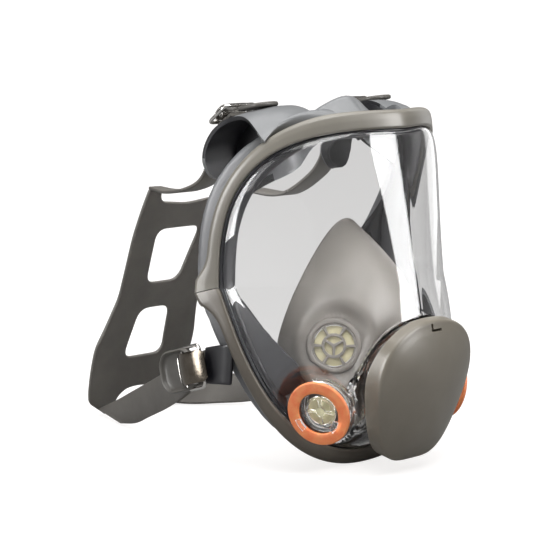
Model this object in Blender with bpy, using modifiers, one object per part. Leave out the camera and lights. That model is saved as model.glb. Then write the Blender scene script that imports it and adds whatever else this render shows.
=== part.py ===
"""Full face respirator: clear visor with a two-piece clamp frame, rubber face seal with four strap
ears, two bayonet filter ports, a centre adapter with the breathing-out valve under a snap-on cover,
an inner nose cup with two check valves, and a rubber head harness on four steel buckles.

The wearer looks along -Y. -X is the wearer's right, Z = 0 is the table. Sizes are millimetres here
and become metres when a mesh is made.
"""
import math

import bmesh
import bpy
import numpy as np
from mathutils import Matrix, Vector

MM = 0.001
GAP = 0.4                      # clearance between touching pieces
ORIGIN_Y = 109.15              # the mask is built from its brow line; this centres it on Y = 0
LIFT = 0.53                    # sets the lowest point of the frame on the table
SIDES = (("right", -1), ("left", 1))

# Lens opening: two half superellipses that meet at the seam height
RIM_HALF_WIDTH = 88.0
RIM_RISE = 94.7
RIM_DROP = 104.9
SEAM_Z = 114.2
BROW_POWER = 3.53
CHIN_POWER = 2.26
TEMPLE_BACK = 66.0             # the opening wraps this far back at the temples
BROW_WRAP = 1.39
CHIN_BACK = 27.0
CHIN_WRAP = 2.66
RIM_STEPS = 9                  # even sections in each quarter of the opening
SEAM_STEPS = (17.0, 12.0, 8.0, 4.0, 0.0)   # closer sections beside the seam, by distance from it

# Lens
LENS_WALL = 2.0
VISOR_POWER = 1.55
VISOR_LEAN = 0.175               # forward per millimetre of drop
LENS_RINGS = 9
LENS_CENTRE_Z = 100.0

# Clamp frame: band width at the brow, temples and chin
BAND_BROW = 11.5
BAND_TEMPLE = 8.5
BAND_CHIN = 10.0
BOSS_REACH = 8.5               # how far the seam bosses stand out behind the band
BOSS_LENGTH = 10.0
SCREW_RADIUS = 1.5

# Filter port: face centre, outward direction and radii
PORT_CENTRE = Vector((61.0, 10.0, 41.0))
PORT_NORMAL = Vector((0.92, -0.33, -0.2)).normalized()
PORT_SEAT_DEPTH = 8.0          # lens surface below the gasket face
GASKET_RADIUS = 20.0
PORT_TUBE_RADIUS = 12.5
PORT_BORE_RADIUS = 10.4
PORT_SPOUT_RADIUS = 11.3       # the tube in front of the gasket
LUG_RADIUS = 12.8

# Breathing-out adapter and cover share one axis
COVER_CENTRE = Vector((0.0, -20.2, 51.0))
COVER_TILT = math.radians(12.0)
COVER_NORMAL = Vector((0.0, -math.cos(COVER_TILT), -math.sin(COVER_TILT)))
ADAPTER_RADIUS = 26.4
COVER_HALF_HEIGHT = 45.0
COVER_HALF_WIDTH = 40.0
COVER_DEPTH = 12.0
COVER_TOP_DEPTH = 7.0
COVER_CROWN = 8.5
COVER_WALL = 2.0

# Cheek liners
CHEEK_WALL = 1.6
CHEEK_DEPTH = 4.7              # middle of the liner behind the outer face of the lens
CHEEK_EDGE_GAP = 7.0
CHEEK_FOOT_Z = 45.0
CHEEK_BORE = 19.6
CHEEK_STEPS = 5

# Nose cup
CUP_TOP = 150.0
CUP_BOTTOM = 31.0
CUP_HALF_WIDTH = 43.0
CUP_WALL = 2.0
CUP_VALVE_CENTRE = Vector((33.8, 22.8, 77.4))
CUP_VALVE_NORMAL = Vector((0.76, -0.62, 0.18)).normalized()
CUP_VALVE_RADIUS = 14.0

# Harness
STRAP_WALL = 2.2
CRADLE_WALL = 2.4
CRADLE_FOOT_Y = 257.6
CRADLE_LEAN = math.atan(0.44)
EAR_WALL = 2.5
EAR_INNER = 33.0
EAR_OUTER = 70.0
UPPER_STRAP_X = 51.0
BUCKLE_HINGE = 8.2             # from the buckle centre to its hinge line
HARNESS_AXIS = Vector((0.0, 107.0, 183.0))


# ------------------------------------------------------------------ scene helpers
def clear_scene():
    for obj in list(bpy.data.objects):
        bpy.data.objects.remove(obj, do_unlink=True)


def collection(name):
    group = bpy.data.collections.new(name)
    bpy.context.scene.collection.children.link(group)
    return group


def material(name, colour, roughness, metallic=0.0, alpha=1.0):
    mat = bpy.data.materials.new(name)
    mat.use_nodes = True
    shader = mat.node_tree.nodes["Principled BSDF"]
    shader.inputs["Base Color"].default_value = (*colour, 1.0)
    shader.inputs["Roughness"].default_value = roughness
    shader.inputs["Metallic"].default_value = metallic
    shader.inputs["Alpha"].default_value = alpha
    return mat


def pivot(name, place, parent):
    """An empty on a joint axis; the pieces that turn or slide there are its children."""
    empty = bpy.data.objects.new(name, None)
    PARTS.objects.link(empty)
    empty.parent = parent
    empty.empty_display_size = 10 * MM
    empty.matrix_local = Matrix.Translation((place - offset_of(parent)) * MM)
    empty["place"] = list(place)
    return empty


def offset_of(parent):
    return Vector(parent["place"]) if parent else Vector((0, 0, 0))


def add_part(name, mesh, mat, place=None, parent=None):
    """Link one sub-part; place is its matrix in the mask's own frame, in millimetres."""
    owner = parent or ROOT
    place = place or Matrix.Identity(4)
    obj = bpy.data.objects.new(name, mesh)
    mesh.materials.clear()
    mesh.materials.append(mat)
    PARTS.objects.link(obj)
    obj.parent = owner
    location = (place.to_translation() - offset_of(owner)) * MM
    obj.matrix_local = Matrix.Translation(location) @ place.to_3x3().to_4x4()
    return obj


def make_cutter(obj):
    """A helper solid: it shapes other pieces and is not one itself."""
    PARTS.objects.unlink(obj)
    HELPERS.objects.link(obj)
    obj.hide_render = True
    obj.display_type = "WIRE"
    return obj


def combine(obj, tool, operation):
    modifier = obj.modifiers.new(operation.lower(), "BOOLEAN")
    modifier.operation = operation
    modifier.solver = "EXACT"
    modifier.object = tool


def axis_place(centre, normal, up=Vector((0, 0, 1))):
    """Matrix with local Z along normal and local Y as near to up as it can be."""
    z = normal.normalized()
    x = up.cross(z).normalized()
    y = z.cross(x)
    turn = Matrix((x, y, z)).transposed().to_4x4()
    return Matrix.Translation(centre) @ turn


def mirrored(point, side):
    return Vector((point.x * side, point.y, point.z))


# ------------------------------------------------------------------ shape helpers
def smoothstep(low, high, value):
    part = np.clip((value - low) / (high - low), 0.0, 1.0)
    return part * part * (3 - 2 * part)


def resample(points, count):
    """count + 1 points at equal steps along a polyline."""
    points = np.asarray(points, float)
    steps = np.linalg.norm(np.diff(points, axis=0), axis=1)
    length = np.concatenate(([0.0], np.cumsum(steps)))
    wanted = np.linspace(0, length[-1], count + 1)
    return np.stack([np.interp(wanted, length, points[:, k]) for k in range(points.shape[1])], 1)


def smooth_path(points, count):
    """count + 1 points on a smooth curve through the given ones."""
    points = np.asarray(points, float)
    ends = [2 * points[0] - points[1], *points, 2 * points[-1] - points[-2]]
    fine = []
    for a, b, c, d in zip(ends, ends[1:], ends[2:], ends[3:]):
        for t in np.linspace(0, 1, 12, endpoint=False):
            fine.append(0.5 * ((2 * b) + (c - a) * t + (2 * a - 5 * b + 4 * c - d) * t ** 2
                               + (3 * b - a - 3 * c + d) * t ** 3))
    fine.append(points[-1])
    return resample(fine, count)


def mesh_from(name, verts, faces):
    mesh = bpy.data.meshes.new(name)
    mesh.from_pydata([tuple(np.asarray(v, float) * MM) for v in verts], [], faces)
    return mesh


def tidy_mesh(mesh, angle=35):
    """Point the faces outward and shade the piece smooth with sharp edges."""
    bm = bmesh.new()
    bm.from_mesh(mesh)
    bmesh.ops.remove_doubles(bm, verts=bm.verts, dist=0.001 * MM)
    bmesh.ops.recalc_face_normals(bm, faces=bm.faces)
    bm.to_mesh(mesh)
    bm.free()
    mesh.shade_smooth()
    mesh.set_sharp_from_angle(angle=math.radians(angle))
    return mesh


def sheet(name, rows, wall, mat, closed=False, pole=None, offset=0.0, even=False, parent=None,
          place=None):
    """An open surface through rows of points, thickened to a wall by Solidify."""
    count = len(rows[0])
    verts = [p for row in rows for p in row]
    faces = []
    span = count if closed else count - 1
    for r in range(len(rows) - 1):
        for c in range(span):
            d = (c + 1) % count
            faces.append((r * count + c, r * count + d, (r + 1) * count + d, (r + 1) * count + c))
    if pole is not None:
        verts.append(pole)
        last = (len(rows) - 1) * count
        faces += [(last + c, last + (c + 1) % count, len(verts) - 1) for c in range(span)]
    mesh = mesh_from(name, verts, faces)
    mesh.shade_smooth()
    obj = add_part(name, mesh, mat, parent=parent)
    if place is None:
        obj.matrix_local = Matrix.Translation(-offset_of(obj.parent) * MM)
    else:
        obj.matrix_local = Matrix.Translation(-offset_of(obj.parent) * MM) @ in_metres(place)
    solid = obj.modifiers.new("wall", "SOLIDIFY")
    solid.thickness = wall * MM
    solid.offset = offset
    solid.use_even_offset = even
    return obj


def in_metres(place):
    return Matrix.Translation(place.to_translation() * MM) @ place.to_3x3().to_4x4()


def loft(name, sections, mat, parent=None):
    """A solid bar through closed sections of equal count, with flat ends."""
    count = len(sections[0])
    verts = [p for section in sections for p in section]
    faces = []
    for s in range(len(sections) - 1):
        for c in range(count):
            d = (c + 1) % count
            faces.append((s * count + c, s * count + d, (s + 1) * count + d, (s + 1) * count + c))
    last = (len(sections) - 1) * count
    faces.append(tuple(range(count)))
    faces.append(tuple(range(last, last + count)))
    mesh = tidy_mesh(mesh_from(name, verts, faces))
    obj = add_part(name, mesh, mat, parent=parent)
    obj.matrix_local = Matrix.Translation(-offset_of(obj.parent) * MM)
    return obj


def turned(name, profile, mat, place, steps=32, parent=None):
    """A turned piece: profile as (radius, height), down its outer side, about local Z."""
    closed = min(radius for radius, height in profile) > 0
    verts = [(radius, 0.0, height) for radius, height in profile]
    edges = [(i, i + 1) for i in range(len(verts) - 1)]
    if closed:
        edges.append((len(verts) - 1, 0))
    mesh = bpy.data.meshes.new(name)
    mesh.from_pydata([tuple(np.array(v) * MM) for v in verts], edges, [])
    obj = add_part(name, mesh, mat, place, parent)
    screw = obj.modifiers.new("turn", "SCREW")
    screw.axis = "Z"
    screw.steps = steps
    screw.render_steps = steps
    screw.use_merge_vertices = True
    screw.merge_threshold = 0.00001
    screw.use_smooth_shade = False
    return obj


def plate(name, loops, thickness, mat, place, parent=None):
    """A flat plate from closed 2D outlines; the first is the edge and the others are holes."""
    curve = bpy.data.curves.new(name, "CURVE")
    curve.dimensions = "2D"
    curve.fill_mode = "BOTH"
    curve.extrude = thickness / 2 * MM
    for loop in loops:
        spline = curve.splines.new("POLY")
        spline.points.add(len(loop) - 1)
        spline.use_cyclic_u = True
        for point, (x, y) in zip(spline.points, loop):
            point.co = (x * MM, y * MM, 0.0, 1.0)
    outline = bpy.data.objects.new(name, curve)
    bpy.context.scene.collection.objects.link(outline)
    depsgraph = bpy.context.evaluated_depsgraph_get()
    mesh = bpy.data.meshes.new_from_object(outline.evaluated_get(depsgraph))
    bpy.data.objects.remove(outline)
    return add_part(name, tidy_mesh(mesh), mat, place, parent)


def circle(radius, steps=32):
    return [(radius * math.cos(a), radius * math.sin(a))
            for a in np.linspace(0, 2 * math.pi, steps, endpoint=False)]


def sector(inner, outer, start, end, steps=5):
    """A ring sector outline between two angles in degrees; a zero inner radius gives a wedge."""
    angles = np.radians(np.linspace(start, end, steps + 1))
    loop = [(outer * math.cos(a), outer * math.sin(a)) for a in angles]
    if inner <= 0:
        middle = math.radians((start + end) / 2)
        return loop + [(1.2 * math.cos(middle), 1.2 * math.sin(middle))]
    return loop + [(inner * math.cos(a), inner * math.sin(a)) for a in angles[::-1]]


def rounded(corners, radius, steps=4):
    """A closed outline with each corner replaced by an arc."""
    loop = []
    count = len(corners)
    for i, corner in enumerate(corners):
        here = Vector(corner)
        back = (Vector(corners[i - 1]) - here).normalized()
        ahead = (Vector(corners[(i + 1) % count]) - here).normalized()
        half = back.angle(ahead) / 2
        if half > math.radians(80):
            loop.append(tuple(here))
            continue
        reach = radius / math.tan(half)
        centre = here + (back + ahead).normalized() * (radius / math.sin(half))
        first = here + back * reach - centre
        last = here + ahead * reach - centre
        turn = first.angle_signed(last)
        for k in range(steps + 1):
            spoke = first.copy()
            spoke.rotate(Matrix.Rotation(-turn * k / steps, 2))
            loop.append(tuple(centre + spoke))
    return loop


# ------------------------------------------------------------------ lens opening
def rim_half_width(z):
    rise = z - SEAM_Z
    reach, power = (RIM_RISE, BROW_POWER) if rise >= 0 else (RIM_DROP, CHIN_POWER)
    return RIM_HALF_WIDTH * max(0.0, 1 - (abs(rise) / reach) ** power) ** (1 / power)


def rim_back(z):
    part = min(rim_half_width(z) / RIM_HALF_WIDTH, 1.0)
    if z >= SEAM_Z:
        return TEMPLE_BACK * (1 - (1 - part ** BROW_WRAP) ** (1 / BROW_WRAP))
    rest = TEMPLE_BACK - CHIN_BACK
    return CHIN_BACK + rest * (1 - (1 - part ** CHIN_WRAP) ** (1 / CHIN_WRAP))


def rim_quarter(upper):
    """Fine points from the brow or the chin to the seam, on the wearer's left."""
    reach, power = (RIM_RISE, BROW_POWER) if upper else (-RIM_DROP, CHIN_POWER)
    points = []
    for turn in np.linspace(0, math.pi / 2, 200):
        z = SEAM_Z + reach * math.cos(turn) ** (2 / power)
        x = RIM_HALF_WIDTH * math.sin(turn) ** (2 / power)
        points.append((x, rim_back(z), z))
    points = np.array(points)
    length = np.concatenate(([0.0], np.cumsum(np.linalg.norm(np.diff(points, axis=0), axis=1))))
    even = np.linspace(0, length[-1] - SEAM_STEPS[0], RIM_STEPS)
    wanted = np.concatenate((even, length[-1] - np.array(SEAM_STEPS[1:])))
    return np.stack([np.interp(wanted, length, points[:, k]) for k in range(3)], 1)


def rim_loop():
    """The opening as a closed loop: brow, left seam, chin, right seam."""
    left = list(rim_quarter(True)) + list(rim_quarter(False))[-2::-1]
    right = [p * (-1, 1, 1) for p in left[-2:0:-1]]
    return np.array(left + right)


def rim_axes(points):
    """At each point of the opening: the direction across the band and the one out of its face."""
    back = np.array((0.0, 1.0, 0.0))
    ahead = np.roll(points, -1, 0) - np.roll(points, 1, 0)
    ahead /= np.linalg.norm(ahead, axis=1)[:, None]
    across, outward = [], []
    for point, along in zip(points, ahead):
        radial = np.cross(back, along)
        radial /= np.linalg.norm(radial)
        if radial @ (point - (0, 0, SEAM_Z)) < 0:
            radial = -radial
        wrap = smoothstep(0.45, 1.0, abs(point[0]) / RIM_HALF_WIDTH)
        lean = math.radians(12 + 58 * wrap)
        o = radial * math.cos(lean) + back * math.sin(lean)
        o -= along * (o @ along)
        o /= np.linalg.norm(o)
        n = radial * math.sin(lean) - back * math.cos(lean)
        n -= along * (n @ along) + o * (n @ o)
        across.append(o)
        outward.append(n / np.linalg.norm(n))
    return np.array(across), np.array(outward)


RIM = rim_loop()
ACROSS, OUTWARD = rim_axes(RIM)
SEAM_LEFT = RIM_STEPS + len(SEAM_STEPS) - 2
SEAM_RIGHT = 3 * SEAM_LEFT


def band_width(point):
    end = BAND_BROW if point[2] > SEAM_Z else BAND_CHIN
    return end + (BAND_TEMPLE - end) * smoothstep(0.45, 1.0, abs(point[0]) / RIM_HALF_WIDTH)


# ------------------------------------------------------------------ lens
def lens_faces(x, z):
    """Y of the visor, the cheek, the flat front and the chin of the lens at one place."""
    half = max(rim_half_width(z), 0.01)
    back = rim_back(z)
    part = min(abs(x) / half, 1.0)
    front = -VISOR_LEAN * (SEAM_Z + RIM_RISE - z)
    visor = back - (back - front) * (1 - part ** VISOR_POWER) ** (1 / VISOR_POWER)
    cheek_slope = 0.25 + 0.0062 * (105 - z)
    cheek = back - (half - abs(x)) / max(cheek_slope, 0.05)
    plane = -0.6 - math.tan(COVER_TILT) * (z - 55.1) - 60 * smoothstep(87, 106, z)
    chin_part = min(max((42 - z) / (42 - SEAM_Z + RIM_DROP), 0.0), 1.0)
    chin = CHIN_BACK - 21 * math.sqrt(1 - chin_part ** 2) - 60 * smoothstep(38, 42, z)
    return visor, cheek, plane, chin


def lens_depth(x, z):
    """Y of the lens face: its faces meet in softened creases."""
    part = min(abs(x) / max(rim_half_width(z), 0.01), 1.0)
    soft = 1.2 * (1 - part ** 4)
    depth, *others = lens_faces(x, z)
    for other in others:
        depth = soft_max(depth, other, soft)
    return min(depth, rim_back(z))


def lens_inward(point):
    """Unit vector from the lens face into the mask."""
    x, z = point[0], point[2]
    slope_x = lens_depth(x + 0.5, z) - lens_depth(x - 0.5, z)
    slope_z = lens_depth(x, z + 0.5) - lens_depth(x, z - 0.5)
    inward = np.array((-slope_x, 1.0, -slope_z))
    return inward / np.linalg.norm(inward)


def soft_max(a, b, radius):
    if radius <= 0 or abs(a - b) >= 4 * radius:
        return max(a, b)
    return max(a, b) + (4 * radius - abs(a - b)) ** 2 / (16 * radius)


def flattened(point, centre, normal, depth, inner, outer):
    """Move a surface point on to the plane that a boss or a valve needs."""
    here = Vector(point) - centre
    height = here.dot(normal)
    radius = (here - normal * height).length
    if height < -40 or here.length > 2 * outer:
        return np.array(point)
    weight = 1 - smoothstep(inner, outer, radius)
    return np.array(Vector(point) + normal * (weight * (-depth - height)))


def lens_surface(point):
    point = np.array((point[0], lens_depth(point[0], point[2]), point[2]))
    side = -1 if point[0] < 0 else 1
    return flattened(point, mirrored(PORT_CENTRE, side), mirrored(PORT_NORMAL, side),
                     PORT_SEAT_DEPTH, 21, 32)


def lens_spoke(start):
    """Equal steps over the lens face from a rim point towards its centre."""
    centre = np.array((0.0, 0.0, LENS_CENTRE_Z))
    reach = 1 - np.linspace(0, 1, 160) ** 2
    fine = [start] + [lens_surface(centre + (start - centre) * r) for r in reach[1:]]
    return resample(fine, LENS_RINGS)


def build_lens(mat):
    spokes = [lens_spoke(p) for p in RIM]
    flange = RIM + ACROSS * 4.2 - OUTWARD * 0.2
    rows = [flange] + [np.array([s[r] for s in spokes]) for r in range(LENS_RINGS)]
    pole = spokes[0][-1]
    lens = sheet("lens", rows, LENS_WALL, mat, closed=True, pole=pole, offset=1.0, even=True)
    for word, side in SIDES:
        place = axis_place(mirrored(PORT_CENTRE, side), mirrored(PORT_NORMAL, side))
        boss = turned("cut_port_boss_" + word, [(0, -4.6), (18.5, -4.6), (18.5, -12.5), (0, -12.5)],
                      mat, place, 28)
        bore = turned("cut_port_bore_" + word, [(0, 12), (13, 12), (13, -34), (0, -34)], mat, place, 28)
        combine(lens, make_cutter(boss), "UNION")
        combine(lens, make_cutter(bore), "DIFFERENCE")
    place = axis_place(COVER_CENTRE, COVER_NORMAL)
    boss = turned("cut_adapter_boss", [(0, -14), (32.5, -14), (32.5, -21), (0, -21)], mat, place, 36)
    bore = turned("cut_adapter_bore", [(0, 4), (27, 4), (27, -36), (0, -36)], mat, place, 36)
    combine(lens, make_cutter(boss), "UNION")
    combine(lens, make_cutter(bore), "DIFFERENCE")
    return lens


# ------------------------------------------------------------------ clamp frame
def band_section(index, reach, shift=0.0):
    """The U-shaped band around the lens edge and the seal bead, as a closed section."""
    point = RIM[index]
    width = band_width(point)
    wide = width + reach
    inner = width - 2.6
    shape = ((0, 0.6), (0, 2.6), (1.2, 3.6), (wide - 2.2, 3.3), (wide - 0.5, 2.2), (wide, 0.2),
             (wide, -6.8), (wide - 1.6, -8.6), (3, -8.6), (3, -6.8), (inner, -6.8), (inner, 0.6))
    base = point + np.array((0, 0, shift))
    return [base + ACROSS[index] * o + OUTWARD[index] * n for o, n in shape]


def boss_reach(point):
    return BOSS_REACH * math.exp(-((point[2] - SEAM_Z) / BOSS_LENGTH) ** 2)


def build_frames(upper_mat, lower_mat, steel):
    count = len(RIM)
    over = [(i % count) for i in range(SEAM_RIGHT, SEAM_LEFT + count + 1)]
    under = list(range(SEAM_LEFT, SEAM_RIGHT + 1))
    frames = []
    for name, indexes, shift, mat in (("upper_frame", over, GAP / 2, upper_mat),
                                      ("lower_frame", under, -GAP / 2, lower_mat)):
        sections = []
        for position, index in enumerate(indexes):
            at_end = position in (0, len(indexes) - 1)
            sections.append(band_section(index, boss_reach(RIM[index]), shift if at_end else 0))
        frames.append(loft(name, sections, mat))
    for word, side in SIDES:
        index = SEAM_LEFT if side > 0 else SEAM_RIGHT
        width = band_width(RIM[index])
        centre = Vector(RIM[index] + ACROSS[index] * (width + 3.6) - OUTWARD[index] * 2.6)
        place = Matrix.Translation(centre)
        bore = turned("cut_screw_bore_" + word,
                      [(0, 40), (3.4, 40), (3.4, 6), (SCREW_RADIUS + 0.4, 6),
                       (SCREW_RADIUS + 0.4, -6), (3.4, -6), (3.4, -40), (0, -40)], steel, place, 14)
        make_cutter(bore)
        for frame in frames:
            combine(frame, bore, "DIFFERENCE")
        turned("frame_screw_" + word,
               [(0, 10.2), (SCREW_RADIUS, 10.2), (SCREW_RADIUS, -6.3), (2.9, -6.3), (2.9, -8.0),
                (2.2, -8.9), (0.9, -8.9), (0.9, -7.9), (0, -7.9)], steel, place, 12)
        turned("frame_nut_" + word,
               [(2.9, 8.9), (2.9, 6.3), (SCREW_RADIUS + 0.6, 6.3), (SCREW_RADIUS + 0.6, 8.9)],
               steel, place, 6)


# ------------------------------------------------------------------ face seal and ears
def build_seal(mat):
    """The rubber skirt: a bead in the frame, a wall to the face and a lip turned inwards."""
    back = np.array((0.0, 1.0, 0.0))
    rows = []
    for point, across, outward in zip(RIM, ACROSS, OUTWARD):
        width = band_width(point)
        side = abs(point[0]) / RIM_HALF_WIDTH
        wrap = smoothstep(0.3, 1.0, side)
        flank = smoothstep(0.2, 0.62, side)
        upper = smoothstep(SEAM_Z - 40, SEAM_Z + 60, point[2])
        radial = np.array((across[0], 0.0, across[2]))
        radial /= np.linalg.norm(radial)
        bead = point + across * 4.2 - outward * 4.4
        throat = point - across * 1.2 - outward * 5.0
        neck = point - across * 2.6 - outward * 12.5
        rear = point + across * (1 + (width + 9.5) * wrap) - outward * (22 - 9.0 * wrap)
        brow = 12.5 * upper * (1 - smoothstep(0.0, 0.5, side))
        reach = (29 + 14 * upper) * (1 - flank) + (21 + 4 * wrap) * flank
        inset = (8.0 + 1.0 * wrap - 6.0 * upper * (1 - wrap)) * flank
        edge = point + radial * (brow - inset) + back * reach
        lip = edge - radial * 7 + back * 4
        tip = edge - radial * (14 + 6 * upper) + back * 2
        rows.append(smooth_path([bead, throat, neck, rear, edge, lip, tip], 9))
    rows = np.array(rows)
    grid = [rows[:, k] for k in range(rows.shape[1])]
    return sheet("face_seal", grid, 2.2, mat, closed=True)


def cheek_spoke(start):
    """The liner's line behind the cheek of the lens, from beside the rim to the crease."""
    centre = np.array((0.0, 0.0, LENS_CENTRE_Z))
    points = []
    for share in np.linspace(0, 0.8, 120):
        point = lens_surface(start + (centre - start) * share)
        visor, cheek, plane, chin = lens_faces(point[0], point[2])
        if max(cheek, chin) < max(visor, plane):
            break
        if np.linalg.norm(point - start) > CHEEK_EDGE_GAP:
            points.append(point + lens_inward(point) * CHEEK_DEPTH)
    return points


def build_cheeks(mat):
    """The rubber liners behind the cheeks of the lens, above the ports."""
    for word, side in SIDES:
        starts = [p for p in RIM if p[0] * side > 0 and CHEEK_FOOT_Z < p[2] < SEAM_Z]
        spokes = [cheek_spoke(p) for p in starts]
        rows = [resample(s, CHEEK_STEPS) for s in spokes if len(s) > 2]
        liner = sheet("cheek_liner_" + word, rows, CHEEK_WALL, mat)
        place = axis_place(mirrored(PORT_CENTRE, side), mirrored(PORT_NORMAL, side))
        bore = turned("cut_cheek_" + word, [(0, 8), (CHEEK_BORE, 8), (CHEEK_BORE, -34), (0, -34)],
                      mat, place, 28)
        combine(liner, make_cutter(bore), "DIFFERENCE")


def strip_rows(path, halves):
    """Rows of three points across a path, from its centre points and half-width vectors."""
    return [[p - h, p, p + h] for p, h in zip(path, halves)]


def build_ears(mat):
    """Four rubber tabs that carry the buckles; the upper pair curls over behind the brow."""
    curl = [(42, 216.5), (50, 219.5), (60, 220.5), (72, 218), (84, 213.5), (95, 206), (102, 196),
            (104, 186), (103, 175)]
    for word, side in SIDES:
        path = smooth_path([(0.0, y, z) for y, z in curl], 11)
        rows = []
        for step, point in enumerate(path):
            part = step / (len(path) - 1)
            inner = EAR_INNER + 6 * smoothstep(0.0, 0.5, part) + 4 * smoothstep(0.85, 1.0, part)
            outer = EAR_OUTER - 4 * smoothstep(0.0, 0.5, part) - 4 * smoothstep(0.85, 1.0, part)
            columns = np.linspace(inner, outer, 4)
            drop = -0.009 * (1 - part) * np.maximum(columns - 44, 0) ** 2
            rows.append([point + (side * c, 0, d) for c, d in zip(columns, drop)])
        sheet("ear_upper_" + word, rows, EAR_WALL, mat)
        low = smooth_path([(85.2, 62.6, 67.2), (86.4, 67, 67), (85.6, 76, 65.3)], 3)
        halves = [np.array((0, -1.5, 12.4)), np.array((0, -1, 12.2)), np.array((0, -1, 12)),
                  np.array((0, -1, 11.5))]
        low = [p * (side, 1, 1) for p in low]
        sheet("ear_lower_" + word, strip_rows(low, halves), EAR_WALL, mat)


# ------------------------------------------------------------------ filter ports
def build_ports(clear, rubber, seat_mat, flap_mat):
    for word, side in SIDES:
        centre = mirrored(PORT_CENTRE, side)
        normal = mirrored(PORT_NORMAL, side)
        place = axis_place(centre, normal)
        body = turned("port_body_" + word,
                      [(PORT_SPOUT_RADIUS, 3.6), (PORT_SPOUT_RADIUS, 0.4), (PORT_TUBE_RADIUS, 0.4),
                       (PORT_TUBE_RADIUS, -2.4), (19.4, -2.4), (19.4, -4.2), (PORT_TUBE_RADIUS, -4.2),
                       (PORT_TUBE_RADIUS, -17.0), (PORT_BORE_RADIUS, -17.0), (PORT_BORE_RADIUS, 3.6)],
                      clear, place, 28)
        for lug in range(3):
            start = 75 + 120 * lug
            block = plate("cut_lug_%s_%d" % (word, lug),
                          [sector(PORT_SPOUT_RADIUS - 0.5, LUG_RADIUS, start, start + 34)], 1.6, clear,
                          place @ Matrix.Translation((0, 0, 2.5)))
            combine(body, make_cutter(block), "UNION")
        turned("port_gasket_" + word,
               [(GASKET_RADIUS - 0.5, 0), (GASKET_RADIUS, -0.5), (GASKET_RADIUS, -2.0), (13.0, -2.0), (13.0, 0)],
               rubber, place, 32)
        turned("port_lock_ring_" + word,
               [(16.8, -13.0), (16.8, -15.6), (13.0, -15.6), (13.0, -13.0)], clear, place, 24)
        holes = [sector(3.0, 8.2, 9 + 90 * k, 81 + 90 * k, 3) for k in range(4)]
        plate("port_valve_seat_" + word, [circle(PORT_BORE_RADIUS - 0.6, 24)] + holes, 1.6, seat_mat,
              place @ Matrix.Translation((0, 0, -4.0)))
        slide = pivot("pivot_port_flap_" + word, centre - normal * 5.8, ROOT)
        turned("port_valve_flap_" + word, [(0, 0.3), (9.2, 0.3), (9.2, -0.3), (0, -0.3)], flap_mat,
               axis_place(centre - normal * 5.8, normal), 20, slide)


# ------------------------------------------------------------------ breathing-out side
def cover_outline(count=36):
    """The shield outline: a broad round top that narrows to a flatter foot."""
    loop = []
    for turn in np.linspace(0, 2 * math.pi, count, endpoint=False):
        rise = math.cos(turn)
        swing = math.sin(turn)
        power = 0.86 - 0.36 * smoothstep(0.3, -0.8, rise) if rise < 0.3 else 0.86
        x = COVER_HALF_WIDTH * math.copysign(abs(swing) ** power, swing) * (1 + 0.2 * rise)
        loop.append((x, COVER_HALF_HEIGHT * rise))
    return np.array(loop)


def build_cover(mat, parent):
    """A moulded shell: a straight side wall, a rounded edge and a crowned face."""
    outline = cover_outline()
    depth = COVER_DEPTH - (COVER_DEPTH - COVER_TOP_DEPTH) * smoothstep(5, COVER_HALF_HEIGHT, outline[:, 1])
    rows = [np.column_stack((outline, -depth * share)) for share in (1.0, 0.5)]
    rows.append(np.column_stack((outline, np.full(len(outline), -1.6))))
    for inset, height in ((0.986, -0.6), (0.955, 0.2)):
        rows.append(np.column_stack((outline * inset, np.full(len(outline), height))))
    for inset in (0.84, 0.66, 0.44, 0.2):
        height = COVER_CROWN * (1 - inset ** 2.3)
        rows.append(np.column_stack((outline * inset, np.full(len(outline), height))))
    place = axis_place(COVER_CENTRE, COVER_NORMAL)
    cover = sheet("front_cover", rows, COVER_WALL, mat, closed=True, pole=(0, 0, COVER_CROWN),
                  offset=1.0, even=True, parent=parent, place=place)
    notch = plate("cut_cover_notch", [rounded([(-4.5, 38.6), (4.5, 38.6), (4.5, 40.4), (-2.7, 40.4),
                                               (-2.7, 43.6), (-4.5, 43.6)], 0.5, 2)],
                  12, mat, place @ Matrix.Translation((0, 0, 2)))
    combine(cover, make_cutter(notch), "DIFFERENCE")
    return cover


def build_adapter(smoky, rubber, seat_mat, flap_mat):
    place = axis_place(COVER_CENTRE, COVER_NORMAL)
    inner = ADAPTER_RADIUS - 3.6
    turned("centre_adapter",
           [(31.0, -10.4), (31.8, -11.0), (31.8, -12.2), (ADAPTER_RADIUS, -12.2),
            (ADAPTER_RADIUS, -33.0), (inner, -33.0), (inner, -10.4)], smoky, place, 36)
    turned("centre_gasket", [(30.6, -12.5), (30.6, -13.7), (27.4, -13.7), (27.4, -12.5)],
           rubber, place, 36)
    turned("adapter_lock_ring", [(30.2, -26.4), (30.2, -28.2), (26.9, -28.2), (26.9, -26.4)],
           smoky, place, 36)
    holes = [sector(5.0, 18.4, 6 + 60 * k, 54 + 60 * k, 3) for k in range(6)]
    plate("exhalation_valve_seat", [circle(inner - 0.6, 32)] + holes, 2.0, seat_mat,
          place @ Matrix.Translation((0, 0, -14.0)))
    centre = COVER_CENTRE - COVER_NORMAL * 12.0
    slide = pivot("pivot_exhalation_flap", centre, ROOT)
    turned("exhalation_valve_flap", [(0, 0.4), (20.0, 0.4), (20.0, -0.4), (0, -0.4)], flap_mat,
           axis_place(centre, COVER_NORMAL), 28, slide)


# ------------------------------------------------------------------ nose cup
def cup_rim(turn):
    rise = math.cos(turn)
    swing = math.sin(turn)
    middle = (CUP_TOP + CUP_BOTTOM) / 2
    z = middle + (CUP_TOP - middle) * rise
    x = CUP_HALF_WIDTH * math.copysign(abs(swing) ** 0.95, swing) * (1 - 0.42 * rise)
    return np.array((x, 46 + (CUP_TOP - z) * 0.17, z))


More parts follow.
